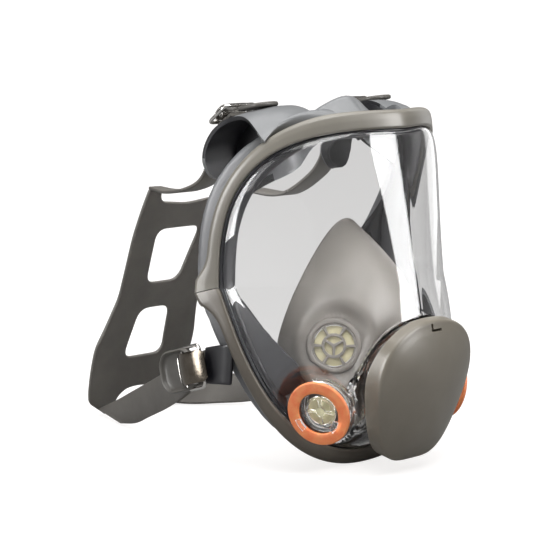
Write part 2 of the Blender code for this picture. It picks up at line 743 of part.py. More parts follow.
def build_nose_cup(mat, seat_mat, flap_mat):
    """A loft from the ring around the adapter to the egg-shaped rim on the face."""
    ring_place = axis_place(COVER_CENTRE - COVER_NORMAL * 29.8, COVER_NORMAL)
    count = 34
    rows = []
    for share in np.linspace(0, 1, 9):
        row = []
        for turn in np.linspace(0, 2 * math.pi, count, endpoint=False):
            spin = Vector((math.sin(turn), math.cos(turn), 0)) * 27.9
            start = np.array(ring_place @ spin)
            start[0] = -start[0] if start[0] * math.sin(turn) < 0 else start[0]
            end = cup_rim(turn)
            out = np.array((math.sin(turn), -0.75, 0.55 * math.cos(turn)))
            swell = 11.5 * math.sin(math.pi * share ** 0.8) * out / np.linalg.norm(out)
            point = start * (1 - share) + end * share + swell
            side = -1 if point[0] < 0 else 1
            flat = flattened(point, mirrored(CUP_VALVE_CENTRE, side), mirrored(CUP_VALVE_NORMAL, side),
                             0, 20, 29)
            row.append(point + (flat - point) * smoothstep(0.0, 0.1, share))
        rows.append(row)
    cup = sheet("nose_cup", rows, CUP_WALL, mat, closed=True)
    for word, side in SIDES:
        centre = mirrored(CUP_VALVE_CENTRE, side)
        normal = mirrored(CUP_VALVE_NORMAL, side)
        place = axis_place(centre, normal)
        bore = turned("cut_cup_bore_" + word, [(0, 12), (14.6, 12), (14.6, -12), (0, -12)], mat, place, 24)
        combine(cup, make_cutter(bore), "DIFFERENCE")
        grid = turned("nose_valve_grid_" + word,
                      [(16.0, 2.9), (16.0, 1.9), (CUP_VALVE_RADIUS, 1.8),
                       (CUP_VALVE_RADIUS, -3.6), (13.0, -3.6), (13.0, 2.9)], mat, place, 20)
        holes = [sector(7.6, 12.6, 5 + 60 * k, 55 + 60 * k, 3) for k in range(6)]
        holes += [sector(0, 5.8, 37 + 120 * k, 143 + 120 * k, 4) for k in range(3)]
        face = plate("cut_grid_face_" + word, [circle(13.45, 20)] + holes, 1.8, mat,
                     place @ Matrix.Translation((0, 0, 1.6)))
        combine(grid, make_cutter(face), "UNION")
        slide = pivot("pivot_nose_flap_" + word, centre - normal * 0.2, ROOT)
        turned("nose_valve_flap_" + word, [(0, 0.3), (12.3, 0.3), (12.3, -0.3), (0, -0.3)], flap_mat,
               axis_place(centre - normal * 0.2, normal), 20, slide)


# ------------------------------------------------------------------ harness
def cradle_place():
    tilt = Matrix.Rotation(math.pi / 2 + CRADLE_LEAN, 4, "X")
    return Matrix.Translation((0, CRADLE_FOOT_Y, 0)) @ tilt


def build_cradle(mat, parent):
    """The head cradle: one rubber panel with two windows, two upper arms and two legs."""
    half = [(0, 163), (25, 166), (28, 178), (38, 178), (39.5, 160), (40, 140), (38, 115), (36.5, 93),
            (41, 70), (45, 54), (44, 35), (42, 16), (41, 6), (24, 6), (20, 13), (12, 18)]
    outline = half + [(0, 20)] + [(-x, y) for x, y in half[:0:-1]]
    windows = [[(-19.8, 144), (19.8, 144), (14.6, 101), (-14.6, 101)],
               [(-13.6, 81), (13.6, 81), (17.8, 43), (-17.8, 43)]]
    loops = [rounded(outline, 3.0, 2)] + [rounded(w, 6.0, 4) for w in windows]
    cradle = plate("cradle", loops, CRADLE_WALL, mat, cradle_place(), parent)
    bm = bmesh.new()
    bm.from_mesh(cradle.data)
    for level in (12, 20, 28, 36, 44, 54):
        geometry = bm.verts[:] + bm.edges[:] + bm.faces[:]
        bmesh.ops.bisect_plane(bm, geom=geometry, dist=0.0001 * MM, plane_co=(0, level * MM, 0),
                               plane_no=(0, 1, 0))
    for vert in bm.verts:
        share = max(0.0, 1 - vert.co.y / (56 * MM))
        vert.co.z += 8.5 * MM * share ** 1.6
    bmesh.ops.recalc_face_normals(bm, faces=bm.faces)
    bm.to_mesh(cradle.data)
    bm.free()
    return cradle


def build_straps(mat, parent):
    """Each strap leaves the cradle flat and ends on its ear; the lower pair turns on edge."""
    sag = {"right": 0.0, "left": -9.0}
    on_floor = {"right": [(37, 230, 3.0), (43, 217, 9.5), (52, 196, 18), (63, 170, 31)],
                "left": [(40, 232, 3.4), (52, 219, 9.5), (66, 198, 12.5), (75, 172, 22)]}
    for word, side in SIDES:
        flip = np.array((side, 1, 1))
        upper = smooth_path([(33.2, 184.2, 162.6), (38, 165, 161.5 + sag[word] / 2),
                             (44, 140, 165 + sag[word]), (49, 119, 172 + sag[word] / 3),
                             (51, 109, 182), (51, 107, 194), (51, 98.4, 207.3), (51, 86.5, 216.0)], 18)
        halves = [np.array((4.9 + 3.6 * smoothstep(0, 5, k), 0, 0)) for k in range(19)]
        sheet("strap_upper_" + word, strip_rows(upper * flip, halves), STRAP_WALL, mat, parent=parent)
        lower = smooth_path([(32.8, 244.4, 3.0), (33.5, 239, 2.0), *on_floor[word],
                             (76, 135, 46), (82.5, 104, 58.0), (84.3, 82, 63.5)], 18)
        rows = []
        for step, point in enumerate(lower):
            turn = math.radians(84) * min(max((step - 1.5) / 4, 0.0), 1.0)
            reach = 8.3 + 2.4 * smoothstep(0, 6, step)
            lean = 0.28 * (1 - step / 18)
            half = np.array((math.cos(turn) - lean * math.sin(turn), 0.1, math.sin(turn))) * reach
            rows.append([point - half, point, point + half])
        rows = [[p * flip for p in row] for row in rows]
        sheet("strap_lower_" + word, rows, STRAP_WALL, mat, parent=parent)


def stadium(length, width, radius):
    half_l, half_w = length / 2, width / 2
    return rounded([(-half_w, -half_l), (half_w, -half_l), (half_w, half_l), (-half_w, half_l)],
                   radius, 3)


def build_buckle(name, centre, normal, along, steel):
    """A steel ladder frame with its roller, hinged at the end that the ear holds."""
    hinge = pivot("pivot_buckle_" + name, centre - along * BUCKLE_HINGE, ROOT)
    place = axis_place(centre, normal, along)
    plate("buckle_frame_" + name, [stadium(19, 27, 4), stadium(13, 21.4, 2.2)], 2.2, steel, place, hinge)
    turn = Matrix.Rotation(math.pi / 2, 4, "Y")
    turned("buckle_roller_" + name,
           [(0, 10.2), (1.7, 10.2), (1.7, -10.2), (0, -10.2)], steel, place @ turn, 12, hinge)
    return hinge


def build_tab(name, place, rubber, parent):
    """The oval grip at the free end of a strap, with a raised rim around a shallow recess."""
    tab = plate("pull_tab_" + name, [stadium(30, 22, 9)], 2.6, rubber, place, parent)
    recess = plate("cut_tab_" + name, [stadium(23, 15, 6.5)], 2.0, rubber,
                   place @ Matrix.Translation((0, 0, 1.2)))
    combine(tab, make_cutter(recess), "DIFFERENCE")


def build_buckles(steel, rubber):
    for word, side in SIDES:
        slope = math.radians(-37)
        along = Vector((0, math.cos(slope), math.sin(slope)))
        normal = Vector((0, -math.sin(slope), math.cos(slope)))
        foot = Vector((UPPER_STRAP_X * side, 91.5, 213.1))
        build_buckle("upper_" + word, foot + normal * 3.4, normal, along, steel)
        flat = axis_place(Vector((UPPER_STRAP_X * side, 69, 221.9)), Vector((0, 0.19, 0.98)),
                          Vector((0, 1, 0)))
        build_tab("upper_" + word, flat, rubber, ROOT)
        along = Vector((-0.1 * side, 0.955, -0.28)).normalized()
        normal = Vector((side, 0.1, 0.0))
        normal = (normal - along * normal.dot(along)).normalized()
        foot = Vector((84.3 * side, 89.5, 62.2))
        hinge = build_buckle("lower_" + word, foot + normal * 3.8, normal, along, steel)
        place = axis_place(foot + normal * 8.0 + along * 15, normal, along)
        build_tab("lower_" + word, place, rubber, hinge)


# ------------------------------------------------------------------ assembly
clear_scene()
PARTS = collection("full_face_respirator")
HELPERS = collection("cutters")
ROOT = bpy.data.objects.new("respirator", None)
PARTS.objects.link(ROOT)
ROOT["place"] = [0.0, 0.0, 0.0]
ROOT.location = (0, -ORIGIN_Y * MM, LIFT * MM)

frame_light = material("frame_upper_plastic", (0.36, 0.33, 0.29), 0.38)
frame_dark = material("frame_lower_plastic", (0.2, 0.18, 0.155), 0.4)
cover_plastic = material("cover_plastic", (0.24, 0.215, 0.185), 0.36)
clear_plastic = material("clear_polycarbonate", (0.92, 0.93, 0.93), 0.04, alpha=0.25)
smoky_plastic = material("smoky_plastic", (0.07, 0.06, 0.06), 0.12)
seal_rubber = material("seal_rubber", (0.12, 0.125, 0.14), 0.6)
cup_rubber = material("nose_cup_silicone", (0.2, 0.185, 0.17), 0.5)
harness_rubber = material("harness_rubber", (0.11, 0.1, 0.09), 0.58)
orange_rubber = material("gasket_rubber", (0.85, 0.16, 0.05), 0.55)
valve_rubber = material("valve_rubber", (0.75, 0.7, 0.45), 0.5)
black_plastic = material("black_plastic", (0.02, 0.02, 0.02), 0.35)
steel = material("polished_steel", (0.62, 0.6, 0.57), 0.18, metallic=1.0)

build_frames(frame_light, frame_dark, steel)
build_lens(clear_plastic)
build_seal(seal_rubber)
build_cheeks(seal_rubber)
build_ears(seal_rubber)
build_ports(clear_plastic, orange_rubber, clear_plastic, valve_rubber)
build_adapter(smoky_plastic, orange_rubber, black_plastic, valve_rubber)
cover_hinge = pivot("pivot_cover", COVER_CENTRE + Vector((0, -5.0, 44.0)), ROOT)
build_cover(cover_plastic, cover_hinge)
build_nose_cup(cup_rubber, cup_rubber, valve_rubber)
harness_hinge = pivot("pivot_harness", HARNESS_AXIS, ROOT)
build_cradle(harness_rubber, harness_hinge)
build_straps(harness_rubber, harness_hinge)
build_buckles(steel, harness_rubber)
bpy.context.view_layer.update()
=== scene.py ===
"""Looks of the full face respirator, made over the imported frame.

Sizes are millimetres in the mask's own frame and become metres when a mesh is made: the wearer looks
along -Y, -X is the wearer's right and Z = 0 is the foot of the lower clamp frame.
"""
import math

import bmesh
import bpy
import numpy as np
from mathutils import Matrix, Vector

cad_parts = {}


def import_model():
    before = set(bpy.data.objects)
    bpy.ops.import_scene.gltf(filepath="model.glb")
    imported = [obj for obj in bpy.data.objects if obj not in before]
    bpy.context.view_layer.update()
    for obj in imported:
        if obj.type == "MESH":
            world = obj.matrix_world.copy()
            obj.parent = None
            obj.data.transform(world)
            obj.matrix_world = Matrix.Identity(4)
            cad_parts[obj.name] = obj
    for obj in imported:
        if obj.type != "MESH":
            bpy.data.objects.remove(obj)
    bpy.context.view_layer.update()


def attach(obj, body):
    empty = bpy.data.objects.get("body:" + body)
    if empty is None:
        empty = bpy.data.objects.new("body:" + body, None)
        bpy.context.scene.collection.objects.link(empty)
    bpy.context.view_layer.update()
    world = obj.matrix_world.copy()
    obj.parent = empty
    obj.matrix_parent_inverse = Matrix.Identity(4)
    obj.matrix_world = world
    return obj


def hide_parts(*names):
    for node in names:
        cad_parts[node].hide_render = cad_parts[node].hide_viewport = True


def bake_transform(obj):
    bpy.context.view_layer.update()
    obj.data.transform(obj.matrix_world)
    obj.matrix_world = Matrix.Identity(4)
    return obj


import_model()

MM = 0.001
SHIFT = np.array((0.0, -109.15, 0.53))
SIDES = (("right", -1), ("left", 1))
BACK = np.array((0.0, 1.0, 0.0))

RIM_HALF_WIDTH = 88.0
RIM_RISE = 94.7
RIM_DROP = 104.9
SEAM_Z = 114.2
BROW_POWER = 3.53
CHIN_POWER = 2.26
TEMPLE_BACK = 66.0
BROW_WRAP = 1.39
CHIN_BACK = 27.0
CHIN_WRAP = 2.66
QUARTER = 48

LENS_WALL = 2.0
VISOR_POWER = 1.55
VISOR_LEAN = 0.175
LENS_RINGS = 64
LENS_CENTRE_Z = 100.0
SEAL_WALL = 2.2
CHEEK_WALL = 1.6
CHEEK_DEPTH = 4.7
CHEEK_FOOT_Z = 45

BAND_BROW = 11.5
BAND_TEMPLE = 8.5
BAND_CHIN = 10.0
BOSS_REACH = 8.5
BOSS_LENGTH = 10.0

PORT_CENTRE = Vector((61.0, 10.0, 41.0))
PORT_NORMAL = Vector((0.92, -0.33, -0.2)).normalized()
PORT_SEAT_DEPTH = 8.0

COVER_CENTRE = Vector((0.0, -20.2, 51.0))
COVER_TILT = math.radians(12.0)
COVER_NORMAL = Vector((0.0, -math.cos(COVER_TILT), -math.sin(COVER_TILT)))
ADAPTER_RADIUS = 26.4
COVER_HALF_HEIGHT = 45.0
COVER_HALF_WIDTH = 40.0
COVER_DEPTH = 12.0
COVER_TOP_DEPTH = 7.0
COVER_CROWN = 8.5
COVER_WALL = 2.0

CUP_TOP = 150.0
CUP_BOTTOM = 31.0
CUP_HALF_WIDTH = 43.0
CUP_WALL = 2.0
CUP_VALVE_CENTRE = Vector((33.8, 22.8, 77.4))
CUP_VALVE_NORMAL = Vector((0.76, -0.62, 0.18)).normalized()

CRADLE_FOOT_Y = 257.6
CRADLE_LEAN = math.atan(0.44)
STRAP_WALL = 2.2
TOOTH_PITCH = 1.5
TOOTH_DEPTH = 0.45
EAR_WALL = 2.5
EAR_INNER = 33.0
EAR_OUTER = 70.0
UPPER_STRAP_X = 51.0

# Brightness of the floor and the world for each kind of ray, then the camera: angles in degrees,
# distance in metres, reach as focal length over sensor width.
STUDIO_WHITE = (1.0, 0.985, 0.975, 1)
FLOOR_SEEN = 0.82
FLOOR_THROUGH = 0.33
FLOOR_BOUNCE = 0.02
WORLD_DIFFUSE = 0.2
CAMERA_AZIMUTH = -44.9
CAMERA_ELEVATION = 8.6
CAMERA_DISTANCE = 1.3
CAMERA_REACH = 3.59821429
CAMERA_SHIFT = 0.00892857


# ---- small tools
def smoothstep(low, high, value):
    """0 below low, 1 above high, with a smooth rise between."""
    part = np.clip((value - low) / (high - low), 0.0, 1.0)
    return part * part * (3 - 2 * part)


def resample(points, count):
    """The same line as count equal steps."""
    points = np.asarray(points, float)
    steps = np.linalg.norm(np.diff(points, axis=0), axis=1)
    length = np.concatenate(([0.0], np.cumsum(steps)))
    wanted = np.linspace(0, length[-1], count + 1)
    return np.stack([np.interp(wanted, length, points[:, k]) for k in range(points.shape[1])], 1)


def smooth_path(points, count):
    """A smooth curve through the points, in count equal steps."""
    points = np.asarray(points, float)
    ends = [2 * points[0] - points[1], *points, 2 * points[-1] - points[-2]]
    fine = []
    for a, b, c, d in zip(ends, ends[1:], ends[2:], ends[3:]):
        for t in np.linspace(0, 1, 24, endpoint=False):
            fine.append(0.5 * ((2 * b) + (c - a) * t + (2 * a - 5 * b + 4 * c - d) * t ** 2
                               + (3 * b - a - 3 * c + d) * t ** 3))
    fine.append(points[-1])
    return resample(fine, count)


def turns(count):
    """Angles in equal steps round a full circle."""
    return np.linspace(0, 2 * math.pi, count, endpoint=False)


def unit(v):
    v = np.asarray(v, float)
    return v / np.linalg.norm(v)


def axis_place(centre, normal, up=Vector((0, 0, 1))):
    """A place with its Z along normal and its Y towards up."""
    z = Vector(normal).normalized()
    x = Vector(up).cross(z).normalized()
    y = z.cross(x)
    return Matrix.Translation(Vector(centre)) @ Matrix((x, y, z)).transposed().to_4x4()


def mirrored(point, side):
    return Vector((point.x * side, point.y, point.z))


def on_side(centre, normal, side):
    """The place of a round part on one side of the mask."""
    return axis_place(mirrored(centre, side), mirrored(normal, side))


def shifted(place, height):
    return place @ Matrix.Translation((0, 0, height))


def world(points, place=None):
    points = np.atleast_2d(np.asarray(points, float))
    if place is not None:
        turn = np.array(place)
        points = points @ turn[:3, :3].T + turn[:3, 3]
    return (points + SHIFT) * MM


def show(name, data):
    """A new object in the scene."""
    obj = bpy.data.objects.new(name, data)
    bpy.context.scene.collection.objects.link(obj)
    return obj


def settle(piece, node_name, body="facepiece"):
    """Put a piece on its body, in place of its CAD node."""
    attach(piece, body)
    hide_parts(node_name)


def raw_mesh(name, points, faces, place=None):
    mesh = bpy.data.meshes.new(name)
    mesh.from_pydata([tuple(p) for p in world(points, place)], [], faces)
    return mesh


def make(name, points, faces, mat, place=None, angle=40):
    """A closed or open mesh from points in millimetres, welded, with its faces outward."""
    obj = show(name, raw_mesh(name, points, faces, place))
    tidy(obj, angle)
    obj.data.materials.append(mat)
    return obj


def tidy(obj, angle=40):
    bm = bmesh.new()
    bm.from_mesh(obj.data)
    bmesh.ops.remove_doubles(bm, verts=bm.verts, dist=0.000002)
    bmesh.ops.recalc_face_normals(bm, faces=bm.faces)
    bm.to_mesh(obj.data)
    bm.free()
    obj.data.shade_smooth()
    obj.data.set_sharp_from_angle(angle=math.radians(angle))


def evaluated(obj):
    depsgraph = bpy.context.evaluated_depsgraph_get()
    return bpy.data.meshes.new_from_object(obj.evaluated_get(depsgraph))


def applied(obj, angle=40):
    """Turn the modifiers into the mesh itself."""
    mesh = evaluated(obj)
    obj.modifiers.clear()
    obj.data = mesh
    tidy(obj, angle)
    return obj


def ring_at(outline, share, height):
    """An outline scaled by share, at one height."""
    return np.column_stack((outline * share, np.full(len(outline), height)))


def grid_faces(rows, count, closed):
    faces = []
    span = count if closed else count - 1
    for r in range(rows - 1):
        for c in range(span):
            d = (c + 1) % count
            a = r * count
            faces.append((a + c, a + d, a + count + d, a + count + c))
    return faces


def fan(start, count, top):
    return [(start + c, start + (c + 1) % count, top) for c in range(count)]


def skin(name, rows, wall, mat, closed=False, pole=None, offset=0.0, even=False, place=None,
         holes=(), edge=0.5, angle=40):
    """A sheet through rows of points: holes cut to true circles, thickened, edges rounded."""
    count = len(rows[0])
    points = [p for row in rows for p in row]
    faces = grid_faces(len(rows), count, closed)
    if pole is not None:
        points.append(pole)
        faces += fan((len(rows) - 1) * count, count, len(points) - 1)
    mesh = raw_mesh(name, points, faces, place)
    obj = show(name, mesh)
    mesh.materials.append(mat)
    for hole_place, radius in holes:
        punch(mesh, hole_place, radius)
    solid = obj.modifiers.new("wall", "SOLIDIFY")
    solid.thickness = wall * MM
    solid.offset = offset
    solid.use_even_offset = even
    if edge:
        bevel = obj.modifiers.new("edge", "BEVEL")
        bevel.width = edge * MM
        bevel.segments = 3
        bevel.limit_method = "ANGLE"
        bevel.angle_limit = math.radians(55)
    return applied(obj, angle)


def punch(mesh, place, radius):
    """Remove the sheet inside a circle and draw its edge to the circle."""
    inverse = place.inverted()
    bm = bmesh.new()
    bm.from_mesh(mesh)
    local = {v: inverse @ (v.co / MM - Vector(SHIFT)) for v in bm.verts}
    inside = [v for v, p in local.items() if p.xy.length < radius and abs(p.z) < 34]
    bmesh.ops.delete(bm, geom=inside, context="VERTS")
    for vert in bm.verts:
        p = local.get(vert)
        if p is None or abs(p.z) > 34 or p.xy.length > radius + 4:
            continue
        if vert.is_boundary:
            flat = p.xy.normalized() * radius
            vert.co = (place @ Vector((flat.x, flat.y, p.z)) + Vector(SHIFT)) * MM
    bm.to_mesh(mesh)
    bm.free()


def loft(name, sections, mat, ring=False, angle=40):
    """A bar through closed sections of equal count."""
    count = len(sections[0])
    points = [p for section in sections for p in section]
    faces = grid_faces(len(sections), count, True)
    last = (len(sections) - 1) * count
    if ring:
        faces += [(last + c, last + (c + 1) % count, (c + 1) % count, c) for c in range(count)]
    else:
        faces.append(tuple(range(count)))
        faces.append(tuple(range(last, last + count)))
    return make(name, points, faces, mat, angle=angle)


def soften(loop, radius, steps=3, closed=True):
    """Round the corners of a 2D outline; points on the axis stay sharp."""
    out = []
    count = len(loop)
    for i, here in enumerate(loop):
        here = np.array(here, float)
        if (not closed and i in (0, count - 1)) or (not closed and here[0] < 1e-6):
            out.append(tuple(here))
            continue
        back = np.array(loop[i - 1], float) - here
        ahead = np.array(loop[(i + 1) % count], float) - here
        reach = min(radius, np.linalg.norm(back) * 0.45, np.linalg.norm(ahead) * 0.45)
        a = here + unit(back) * reach
        b = here + unit(ahead) * reach
        for t in np.linspace(0, 1, steps + 1):
            out.append(tuple((1 - t) ** 2 * a + 2 * t * (1 - t) * here + t ** 2 * b))
    return out


def turned(name, profile, place, mat, steps=96, round_by=0.35):
    """A turned piece about local Z from a (radius, height) profile with softened corners."""
    closed = min(r for r, h in profile) > 0
    profile = soften(profile, round_by, 3, closed) if round_by else profile
    points = []
    for a in turns(steps):
        points += [(r * math.cos(a), r * math.sin(a), h) for r, h in profile]
    count = len(profile)
    faces = []
    for s in range(steps):
        t = (s + 1) % steps
        for c in range(count if closed else count - 1):
            d = (c + 1) % count
            faces.append((s * count + c, t * count + c, t * count + d, s * count + d))
    return make(name, points, faces, mat, place)


def plate(name, loops, thickness, mat, place, edge=0.3, angle=40):
    """A flat plate with holes and rounded edges, from closed 2D outlines."""
    curve = bpy.data.curves.new(name, "CURVE")
    curve.dimensions = "2D"
    curve.fill_mode = "BOTH"
    curve.extrude = (thickness / 2 - edge) * MM
    curve.bevel_depth = edge * MM
    curve.bevel_resolution = 2
    curve.offset = -edge * MM
    for loop in loops:
        spline = curve.splines.new("POLY")
        spline.points.add(len(loop) - 1)
        spline.use_cyclic_u = True
        for point, (x, y) in zip(spline.points, loop):
            point.co = (x * MM, y * MM, 0.0, 1.0)
    outline = show(name + "_outline", curve)
    mesh = evaluated(outline)
    bpy.data.objects.remove(outline)
    mesh.name = name
    if place is not None:
        mesh.transform(metric(place))
    obj = show(name, mesh)
    mesh.materials.clear()
    mesh.materials.append(mat)
    tidy(obj, angle)
    return obj


def metric(place):
    """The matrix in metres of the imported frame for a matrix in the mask's millimetres."""
    here = (place.to_translation() + Vector(SHIFT)) * MM
    return Matrix.Translation(here) @ place.to_3x3().to_4x4()


def circle(radius, steps=72):
    return [(radius * math.cos(a), radius * math.sin(a))
            for a in turns(steps)]


def sector(inner, outer, start, end):
    angles = np.radians(np.linspace(start, end, 15))
    loop = [(outer * math.cos(a), outer * math.sin(a)) for a in angles]
    if inner <= 0:
        middle = math.radians((start + end) / 2)
        return soften(loop + [(1.2 * math.cos(middle), 1.2 * math.sin(middle))], 0.6, 2)
    return soften(loop + [(inner * math.cos(a), inner * math.sin(a)) for a in angles[::-1]], 0.6, 2)


def stadium(length, width, radius, steps=8):
    half_l, half_w = length / 2, width / 2
    loop = []
    for sx, sy, start in ((1, 1, 0), (-1, 1, 90), (-1, -1, 180), (1, -1, 270)):
        for a in np.radians(np.linspace(start, start + 90, steps + 1)):
            loop.append((sx * (half_w - radius) + radius * math.cos(a),
                         sy * (half_l - radius) + radius * math.sin(a)))
    return loop


def join(name, objects):
    """One piece from several shapes."""
    bm = bmesh.new()
    mats = []
    for obj in objects:
        mesh = obj.data
        remap = []
        for mat in mesh.materials:
            if mat not in mats:
                mats.append(mat)
            remap.append(mats.index(mat))
        before = len(bm.faces)
        bm.from_mesh(mesh)
        bm.faces.ensure_lookup_table()
        for face in bm.faces[before:]:
            face.material_index = remap[face.material_index] if remap else 0
    mesh = bpy.data.meshes.new(name)
    bm.to_mesh(mesh)
    bm.free()
    for mat in mats:
        mesh.materials.append(mat)
    for obj in objects:
        bpy.data.objects.remove(obj)
    return show(name, mesh)


def cut(obj, tool, operation="DIFFERENCE", angle=40):
    modifier = obj.modifiers.new("cut", "BOOLEAN")
    modifier.operation = operation
    modifier.solver = "EXACT"
    modifier.object = tool
    mat = obj.data.materials[0]
    applied(obj, angle)
    bpy.data.objects.remove(tool)
    obj.data.materials.clear()
    obj.data.materials.append(mat)
    for face in obj.data.polygons:
        face.material_index = 0
    return obj


def wire(name, points, radius, mat, closed=False):
    """A round wire along a path in millimetres."""
    points = np.asarray(points, float)
    if closed:
        ahead = np.roll(points, -1, 0) - np.roll(points, 1, 0)
    else:
        ahead = np.gradient(points, axis=0)
    ahead /= np.linalg.norm(ahead, axis=1)[:, None]
    normal = np.cross(ahead[0], (0.31, 0.52, 0.79))
    sections = []
    for point, along in zip(points, ahead):
        normal = unit(normal - along * (normal @ along))
        side = np.cross(along, normal)
        sections.append([point + radius * (normal * math.cos(a) + side * math.sin(a))
                         for a in turns(12)])
    return loft(name, sections, mat, ring=closed, angle=60)


# ---- materials
def fill(tree, made, inputs):
    """Set a node's sockets: an output is linked, any other value is set."""
    for key, value in inputs.items():
        if isinstance(value, bpy.types.NodeSocket):
            tree.links.new(value, made.inputs[key])
        else:
            made.inputs[key].default_value = value


def node(tree, kind, inputs, **settings):
    made = tree.nodes.new("ShaderNode" + kind)
    for key, value in settings.items():
        setattr(made, key, value)
    fill(tree, made, inputs)
    return made


def noise(tree, vector, scale, detail, roughness=0.5):
    inputs = {"Vector": vector, "Scale": scale, "Detail": detail, "Roughness": roughness}
    return node(tree, "TexNoise", inputs).outputs["Fac"]


def spread(tree, value, low, high, to_low, to_high):
    inputs = {"Value": value, "From Min": low, "From Max": high, "To Min": to_low, "To Max": to_high}
    return node(tree, "MapRange", inputs).outputs["Result"]


def new_material(name):
    mat = bpy.data.materials.new(name)
    mat.use_nodes = True
    return mat, mat.node_tree, mat.node_tree.nodes["Principled BSDF"]


def surface(name, dark, light, rough, metallic=0.0, tone_scale=20.0, grain_scale=1500.0, grain=0.08,
            wave=0.0, wave_scale=60.0, edge=0.2, stretch=(1, 1, 1)):
    """Moulded plastic, rubber or metal: soft tone change, fine grain, roughness patches, worn edges."""
    mat, tree, shader = new_material(name)
    place = node(tree, "TexCoord", {}).outputs["Object"]
    vector = node(tree, "Mapping", {"Vector": place, "Scale": stretch}).outputs["Vector"]
    ramp = node(tree, "ValToRGB", {"Fac": noise(tree, vector, tone_scale, 5.0, 0.6)})
    for stop, position, colour in zip(ramp.color_ramp.elements, (0.3, 0.7), (dark, light)):
        stop.position = position
        stop.color = (*colour, 1)
    colour = ramp.outputs["Color"]
    if edge:
        pointed = node(tree, "NewGeometry", {}).outputs["Pointiness"]
        worn = spread(tree, pointed, 0.52, 0.62, 0.0, edge)
        pale = (*[min(1.0, c * 1.9 + 0.03) for c in light], 1)
        colour = node(tree, "Mix", {"Factor": worn, "A": colour, "B": pale},
                      data_type="RGBA").outputs["Result"]
    gloss = spread(tree, noise(tree, vector, tone_scale * 3.1, 6.0), 0.3, 0.7, *rough)
    bump = {"Strength": grain, "Distance": 0.0002, "Height": noise(tree, vector, grain_scale, 3.0)}
    normal = node(tree, "Bump", bump).outputs["Normal"]
    if wave:
        swell = {"Strength": wave, "Distance": 0.001, "Normal": normal,
                 "Height": noise(tree, vector, wave_scale, 2.0)}
        normal = node(tree, "Bump", swell).outputs["Normal"]
    fill(tree, shader, {"Base Color": colour, "Roughness": gloss, "Normal": normal, "Metallic": metallic})
    return mat


def glass(name, tint, rough, shade):
    """Clear moulded plastic; lamps shine through it."""
    mat, tree, shader = new_material(name)
    place = node(tree, "TexCoord", {}).outputs["Object"]
    gloss = spread(tree, noise(tree, place, 45.0, 4.0), 0.0, 1.0, rough * 0.5, rough * 1.5)
    bump = {"Strength": 0.02, "Distance": 0.0004, "Height": noise(tree, place, 22.0, 1.0)}
    normal = node(tree, "Bump", bump).outputs["Normal"]
    fill(tree, shader, {"Base Color": (*tint, 1), "Transmission Weight": 1.0, "IOR": 1.5,
                        "Roughness": gloss, "Normal": normal})
    through = node(tree, "BsdfTransparent", {"Color": (*shade, 1)}).outputs["BSDF"]
    in_shadow = node(tree, "LightPath", {}).outputs["Is Shadow Ray"]
    mix = node(tree, "MixShader", {"Fac": in_shadow, 1: shader.outputs["BSDF"], 2: through})
    fill(tree, tree.nodes["Material Output"], {"Surface": mix.outputs["Shader"]})
    return mat


UPPER_PLASTIC = surface("frame_upper_plastic", (0.218, 0.202, 0.172), (0.28, 0.262, 0.226), (0.28, 0.36),
                        tone_scale=14, grain_scale=1800, grain=0.1, edge=0.25, stretch=(1, 1, 0.35))
# The lower frame is the upper frame's plastic made darker: painted shade on the lower band and chin.
SHADED_LOWER_PLASTIC = surface("frame_lower_plastic", (0.108, 0.093, 0.075), (0.148, 0.129, 0.104), (0.3, 0.4),
                        tone_scale=16, grain_scale=1800, grain=0.1, edge=0.3)
COVER_PLASTIC = surface("cover_plastic", (0.19, 0.17, 0.137), (0.235, 0.212, 0.172), (0.28, 0.36),
                        tone_scale=18, grain_scale=2200, grain=0.12)
SEAL_RUBBER = surface("seal_rubber", (0.15, 0.153, 0.162), (0.21, 0.214, 0.225), (0.36, 0.46))
# The seal rubber made lighter for the ears and brow: painted light from the top lamp.
TOP_LIT_RUBBER = surface("ear_and_brow_rubber_painted_light", (0.185, 0.19, 0.196), (0.24, 0.246, 0.252), (0.3, 0.4))
# Near-black rubber: painted shade on the inward sides of the seal and upper ears, the sheet in the ear curl,
# the cheek linings and the lower ears; also the black beads between frame and lens.
BLACK_AND_SHADE_RUBBER = surface("black_rubber_and_painted_shade", (0.007, 0.007, 0.009), (0.014, 0.014, 0.019), (0.3, 0.42),
                       edge=0)
CUP_RUBBER = surface("nose_cup_silicone", (0.12, 0.109, 0.098), (0.205, 0.19, 0.172), (0.36, 0.46),
                     tone_scale=16, grain_scale=1700, grain=0.07)
HARNESS_RUBBER = surface("harness_rubber", (0.1, 0.092, 0.082), (0.145, 0.135, 0.12), (0.42, 0.55),
                         tone_scale=22, grain_scale=1300, grain=0.12, wave=0.05, edge=0.5)
TAB_RUBBER = surface("tab_rubber", (0.075, 0.07, 0.062), (0.11, 0.103, 0.092), (0.4, 0.52),
                     tone_scale=40, grain=0.12, edge=0.4)
GASKET_RUBBER = surface("gasket_rubber", (0.95, 0.2, 0.06), (1.0, 0.36, 0.13), (0.42, 0.58),
                        tone_scale=220, grain=0.45, edge=0.3)
VALVE_RUBBER = surface("valve_rubber", (0.44, 0.4, 0.24), (0.56, 0.52, 0.34), (0.35, 0.5),
                       tone_scale=120, edge=0)
OLIVE_RUBBER = surface("port_valve_rubber", (0.36, 0.34, 0.2), (0.6, 0.56, 0.36), (0.2, 0.3),
                       tone_scale=70, grain=0.06, edge=0)
BLACK_PLASTIC = surface("black_plastic", (0.012, 0.012, 0.013), (0.024, 0.024, 0.026), (0.3, 0.42),
                        tone_scale=60, grain=0.15, edge=0.3)
STEEL = surface("polished_steel", (0.5, 0.48, 0.45), (0.68, 0.66, 0.63), (0.12, 0.24), metallic=1.0,
                tone_scale=160, grain_scale=3500, edge=0.3)
